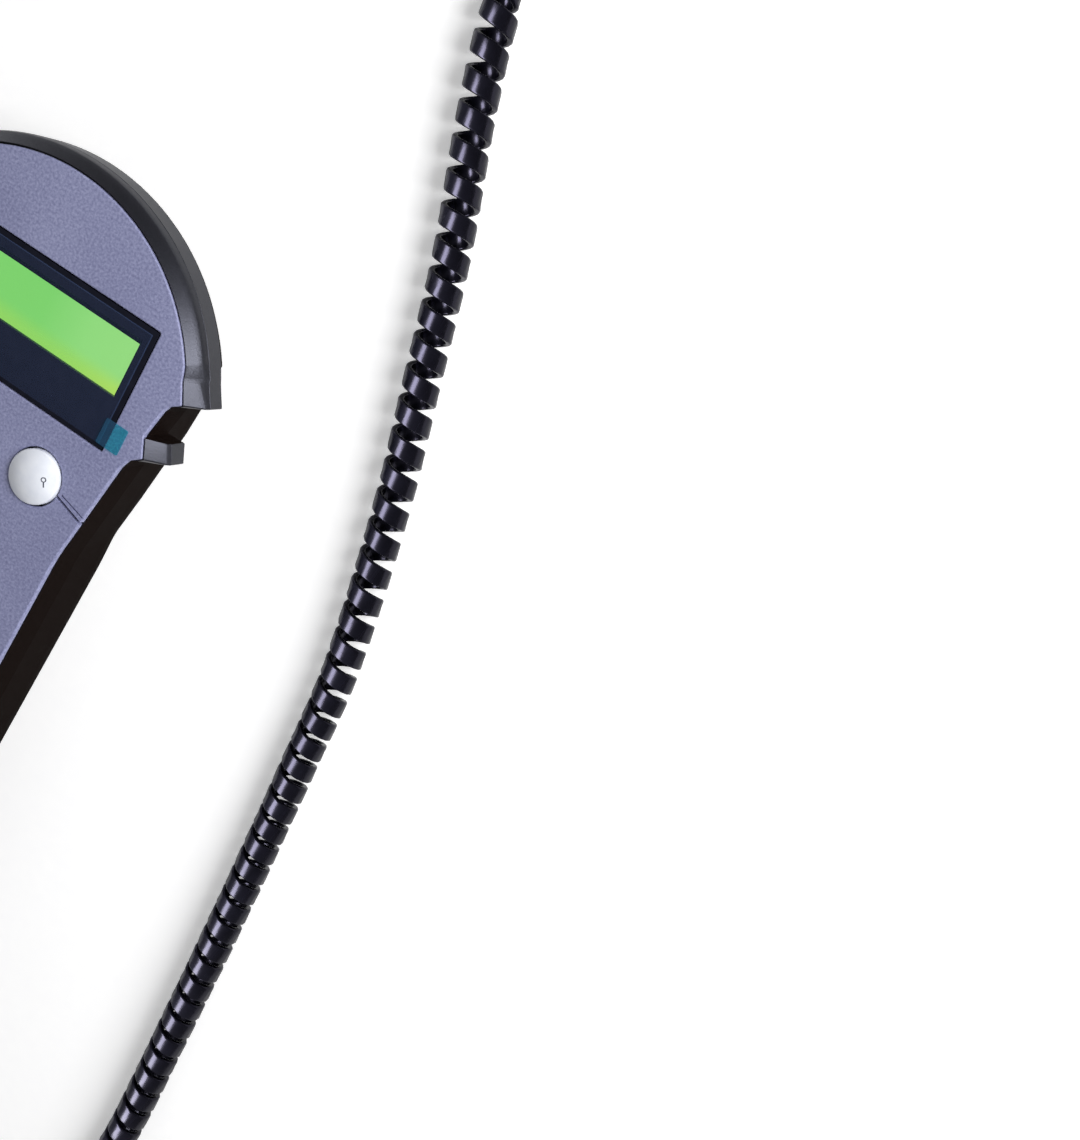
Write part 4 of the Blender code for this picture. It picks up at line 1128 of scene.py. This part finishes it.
# Nylon, moulded: ivory white, slightly waxy.
header_ivory = grained(
    "ivory_nylon_moulded", 600.0, 2.0, [(0.3, "#DAD5C6"), (0.7, "#E8E4D8")],
    rough=(0.4, 0.55), shine={"IOR": 1.53},
)
for name in ("cord_header", "ribbon_cable"):
    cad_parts[name].data.materials[0] = header_ivory

# ---------------------------------------------------------------------------- Screws
# Four self-tapping pan-head screws with a cross recess hold the case from the back, and four
# small ones hold the main board. Zinc-plated steel.

# Zinc plate on cold-headed steel: bright bluish grey with a fine granular haze.
screw_steel = grained(
    "zinc_plated_steel_headed", 2200.0, 3.0, [(0.3, "#B4B8BE"), (0.7, "#D2D5DA")],
    rough=(0.25, 0.42), shine={"Metallic": 1.0},
)
for i in range(1, 5):
    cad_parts[f"board_screw_{i}"].data.materials[0] = screw_steel

screw_tree, given, made = new_tree(
    "pan_head_screws",
    [
        ("Head diameter", "NodeSocketFloat"),
        ("Head height", "NodeSocketFloat"),
        ("Shank diameter", "NodeSocketFloat"),
        ("Shank length", "NodeSocketFloat"),
        ("Recess width", "NodeSocketFloat"),
        ("Recess depth", "NodeSocketFloat"),
        ("Finish", "NodeSocketMaterial"),
    ],
)
head_half = add(screw_tree, "ShaderNodeMath", {0: given["Head diameter"], 1: 0.5}, operation="MULTIPLY")
shoulder = add(screw_tree, "ShaderNodeMath", {0: head_half, 1: 0.97}, operation="MULTIPLY")
crown_half = add(screw_tree, "ShaderNodeMath", {0: head_half, 1: 0.66}, operation="MULTIPLY")
crown_high = add(screw_tree, "ShaderNodeMath", {0: given["Head height"], 1: 0.45}, operation="MULTIPLY")
skirt_high = add(screw_tree, "ShaderNodeMath", {0: given["Head height"], 1: 0.55}, operation="MULTIPLY")
shank_half = add(screw_tree, "ShaderNodeMath", {0: given["Shank diameter"], 1: 0.5}, operation="MULTIPLY")
skirt = add(
    screw_tree,
    "GeometryNodeMeshCone",
    {"Vertices": 40, "Radius Top": head_half, "Radius Bottom": shoulder, "Depth": skirt_high},
)
crown = add(
    screw_tree,
    "GeometryNodeMeshCone",
    {"Vertices": 40, "Radius Top": shoulder, "Radius Bottom": crown_half, "Depth": crown_high},
)
shank = add(
    screw_tree,
    "GeometryNodeMeshCylinder",
    {"Vertices": 24, "Radius": shank_half, "Depth": given["Shank length"]},
)
middle = add(
    screw_tree,
    "ShaderNodeMath",
    {0: given["Shank length"], 1: 0.5, 2: crown_high},
    operation="MULTIPLY_ADD",
)
skirt_rise = add(screw_tree, "ShaderNodeCombineXYZ", {"Z": crown_high})
shank_rise = add(screw_tree, "ShaderNodeCombineXYZ", {"Z": middle})
raised_skirt = add(screw_tree, "GeometryNodeTransform", {"Geometry": skirt, "Translation": skirt_rise})
raised_shank = add(screw_tree, "GeometryNodeTransform", {"Geometry": shank, "Translation": shank_rise})
body = add(screw_tree, "GeometryNodeMeshBoolean", operation="UNION")
for part in (raised_skirt, crown, raised_shank):
    screw_tree.links.new(part.outputs[0], body.inputs[1])
blade_deep = add(screw_tree, "ShaderNodeMath", {0: given["Recess depth"], 1: 2.0}, operation="MULTIPLY")
blade_thin = add(screw_tree, "ShaderNodeMath", {0: given["Recess width"], 1: 0.28}, operation="MULTIPLY")
recess = add(screw_tree, "GeometryNodeMeshBoolean", {0: body}, operation="DIFFERENCE")
for wide, deep in ((given["Recess width"], blade_thin), (blade_thin, given["Recess width"])):
    size = add(screw_tree, "ShaderNodeCombineXYZ", {"X": wide, "Y": deep, "Z": blade_deep})
    blade = add(screw_tree, "GeometryNodeMeshCube", {"Size": size})
    screw_tree.links.new(blade.outputs["Mesh"], recess.inputs[1])
points = add(screw_tree, "GeometryNodeInstanceOnPoints", {"Points": given["Geometry"], "Instance": recess})
solid = add(screw_tree, "GeometryNodeRealizeInstances", {0: points})
faced = add(screw_tree, "GeometryNodeSetMaterial", {"Geometry": solid, "Material": given["Finish"]})
screw_tree.links.new(faced.outputs[0], made[0])

screw_low = 0.0046
places = bpy.data.meshes.new("case_screws")
places.from_pydata([(x, y, screw_low) for x, y in case_screws], [], [])
screws = bpy.data.objects.new("case_screws", places)
scene.collection.objects.link(screws)
screw_sizes = {
    "Head diameter": 0.0052,
    "Head height": 0.0020,
    "Shank diameter": 0.0026,
    "Shank length": 0.0160,
    "Recess width": 0.0026,
    "Recess depth": 0.0011,
    "Finish": screw_steel,
}
screws.data = grown(screws, screw_tree, screw_sizes)
shaded(screws.data)
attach(screws, "controller")
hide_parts(*[f"case_screw_{i}" for i in range(1, 5)])

# ------------------------------------------------------------------- Floor and light
# A plain white floor just under the controller in a dim white surround. One softbox on the right
# lights the rim, one in front the face, two low ones the case's dark left and end, and a long
# one overhead only draws the cord's streak.
floor_mesh = bpy.data.meshes.new("floor")
reach = 6.0
corners = [(-reach, -reach), (reach, -reach), (reach, reach), (-reach, reach)]
floor_mesh.from_pydata([(x, y, -0.0003) for x, y in corners], [], [(0, 1, 2, 3)])
floor = bpy.data.objects.new("floor", floor_mesh)
scene.collection.objects.link(floor)
floor_white, tree, coords = new_finish("white_paper_floor")
fibre = add(tree, "ShaderNodeTexNoise", {"Vector": coords, "Scale": 400.0, "Detail": 2.0})
tone = add(tree, "ShaderNodeValToRGB", {"Fac": fibre}, [(0.3, "#F6F6F7"), (0.7, "#FAFAFA")])
away = add(tree, "ShaderNodeVectorMath", {0: coords}, operation="LENGTH").outputs["Value"]
bright = add(
    tree,
    "ShaderNodeMapRange",
    {"Value": away, "From Min": 0.22, "From Max": 0.6, "To Min": 0.33, "To Max": 0.9},
)
path = add(tree, "ShaderNodeLightPath")
lift = add(tree, "ShaderNodeMath", {0: path, 1: bright}, operation="MULTIPLY")
shader = add(
    tree,
    "ShaderNodeBsdfPrincipled",
    {"Base Color": tone, "Roughness": 0.9, "Emission Color": "#FFFFFF", "Emission Strength": lift},
)
add(tree, "ShaderNodeOutputMaterial", {"Surface": shader})
floor_mesh.materials.append(floor_white)

world = bpy.data.worlds.new("surround")
scene.world = world
world.use_nodes = True
tree = world.node_tree
tree.nodes.clear()
path = add(tree, "ShaderNodeLightPath")
seen = add(tree, "ShaderNodeMath", {0: path, 1: path.outputs["Is Transmission Ray"]}, operation="MAXIMUM")
level = add(tree, "ShaderNodeMapRange", {"Value": seen, "To Min": 0.2, "To Max": 1.0})
surround = add(tree, "ShaderNodeBackground", {"Color": "#FFFFFF", "Strength": level})
add(tree, "ShaderNodeOutputWorld", {"Surface": surround})

cord_lit = bpy.data.collections.new("cord_lit")
cord_unlit = bpy.data.collections.new("cord_unlit")
case_lit = bpy.data.collections.new("case_lit")
for group, state, members in (
    (cord_lit, "INCLUDE", [curly_cord]),
    (cord_unlit, "EXCLUDE", [curly_cord]),
    (case_lit, "INCLUDE", [front_case, rear_case]),
):
    for member in members:
        group.objects.link(member)
    for entry in group.collection_objects:
        entry.light_linking.link_state = state


def softbox(name, place, aim, long_way, width, length, power, receivers):
    """A rectangular lamp at a place, facing another, with its length along the given way."""
    lamp = bpy.data.lights.new(name, "AREA")
    lamp.shape, lamp.size, lamp.size_y, lamp.energy = "RECTANGLE", width, length, power
    made = bpy.data.objects.new(name, lamp)
    back = (Vector(place) - Vector(aim)).normalized()
    side = Vector(long_way).cross(back).normalized()
    turn = Matrix((side, back.cross(side), back)).transposed().to_4x4()
    made.matrix_world = Matrix.Translation(place) @ turn
    made.light_linking.receiver_collection = receivers
    scene.collection.objects.link(made)


head = (0.03, 0.05, 0.03)
softbox("rim_box", (0.426, 0.303, 0.316), head, (0, 0, 1), 0.32, 0.32, 4.0, cord_unlit)
softbox("face_box", (0.282, -0.13, 0.544), head, (0, 1, 0), 0.35, 0.35, 0.12, cord_unlit)
softbox("left_fill", (-0.9, 0.05, 0.2), head, (0, 0, 1), 0.6, 0.4, 20.0, case_lit)
softbox("front_fill", (-0.2, -0.95, 0.25), head, (0, 0, 1), 0.6, 0.4, 20.0, case_lit)
softbox("streak_box", (-0.29, -0.40, 1.0), (0.085, 0.05, 0.0), (0, 1, 0), 0.5, 1.6, 50.0, cord_lit)
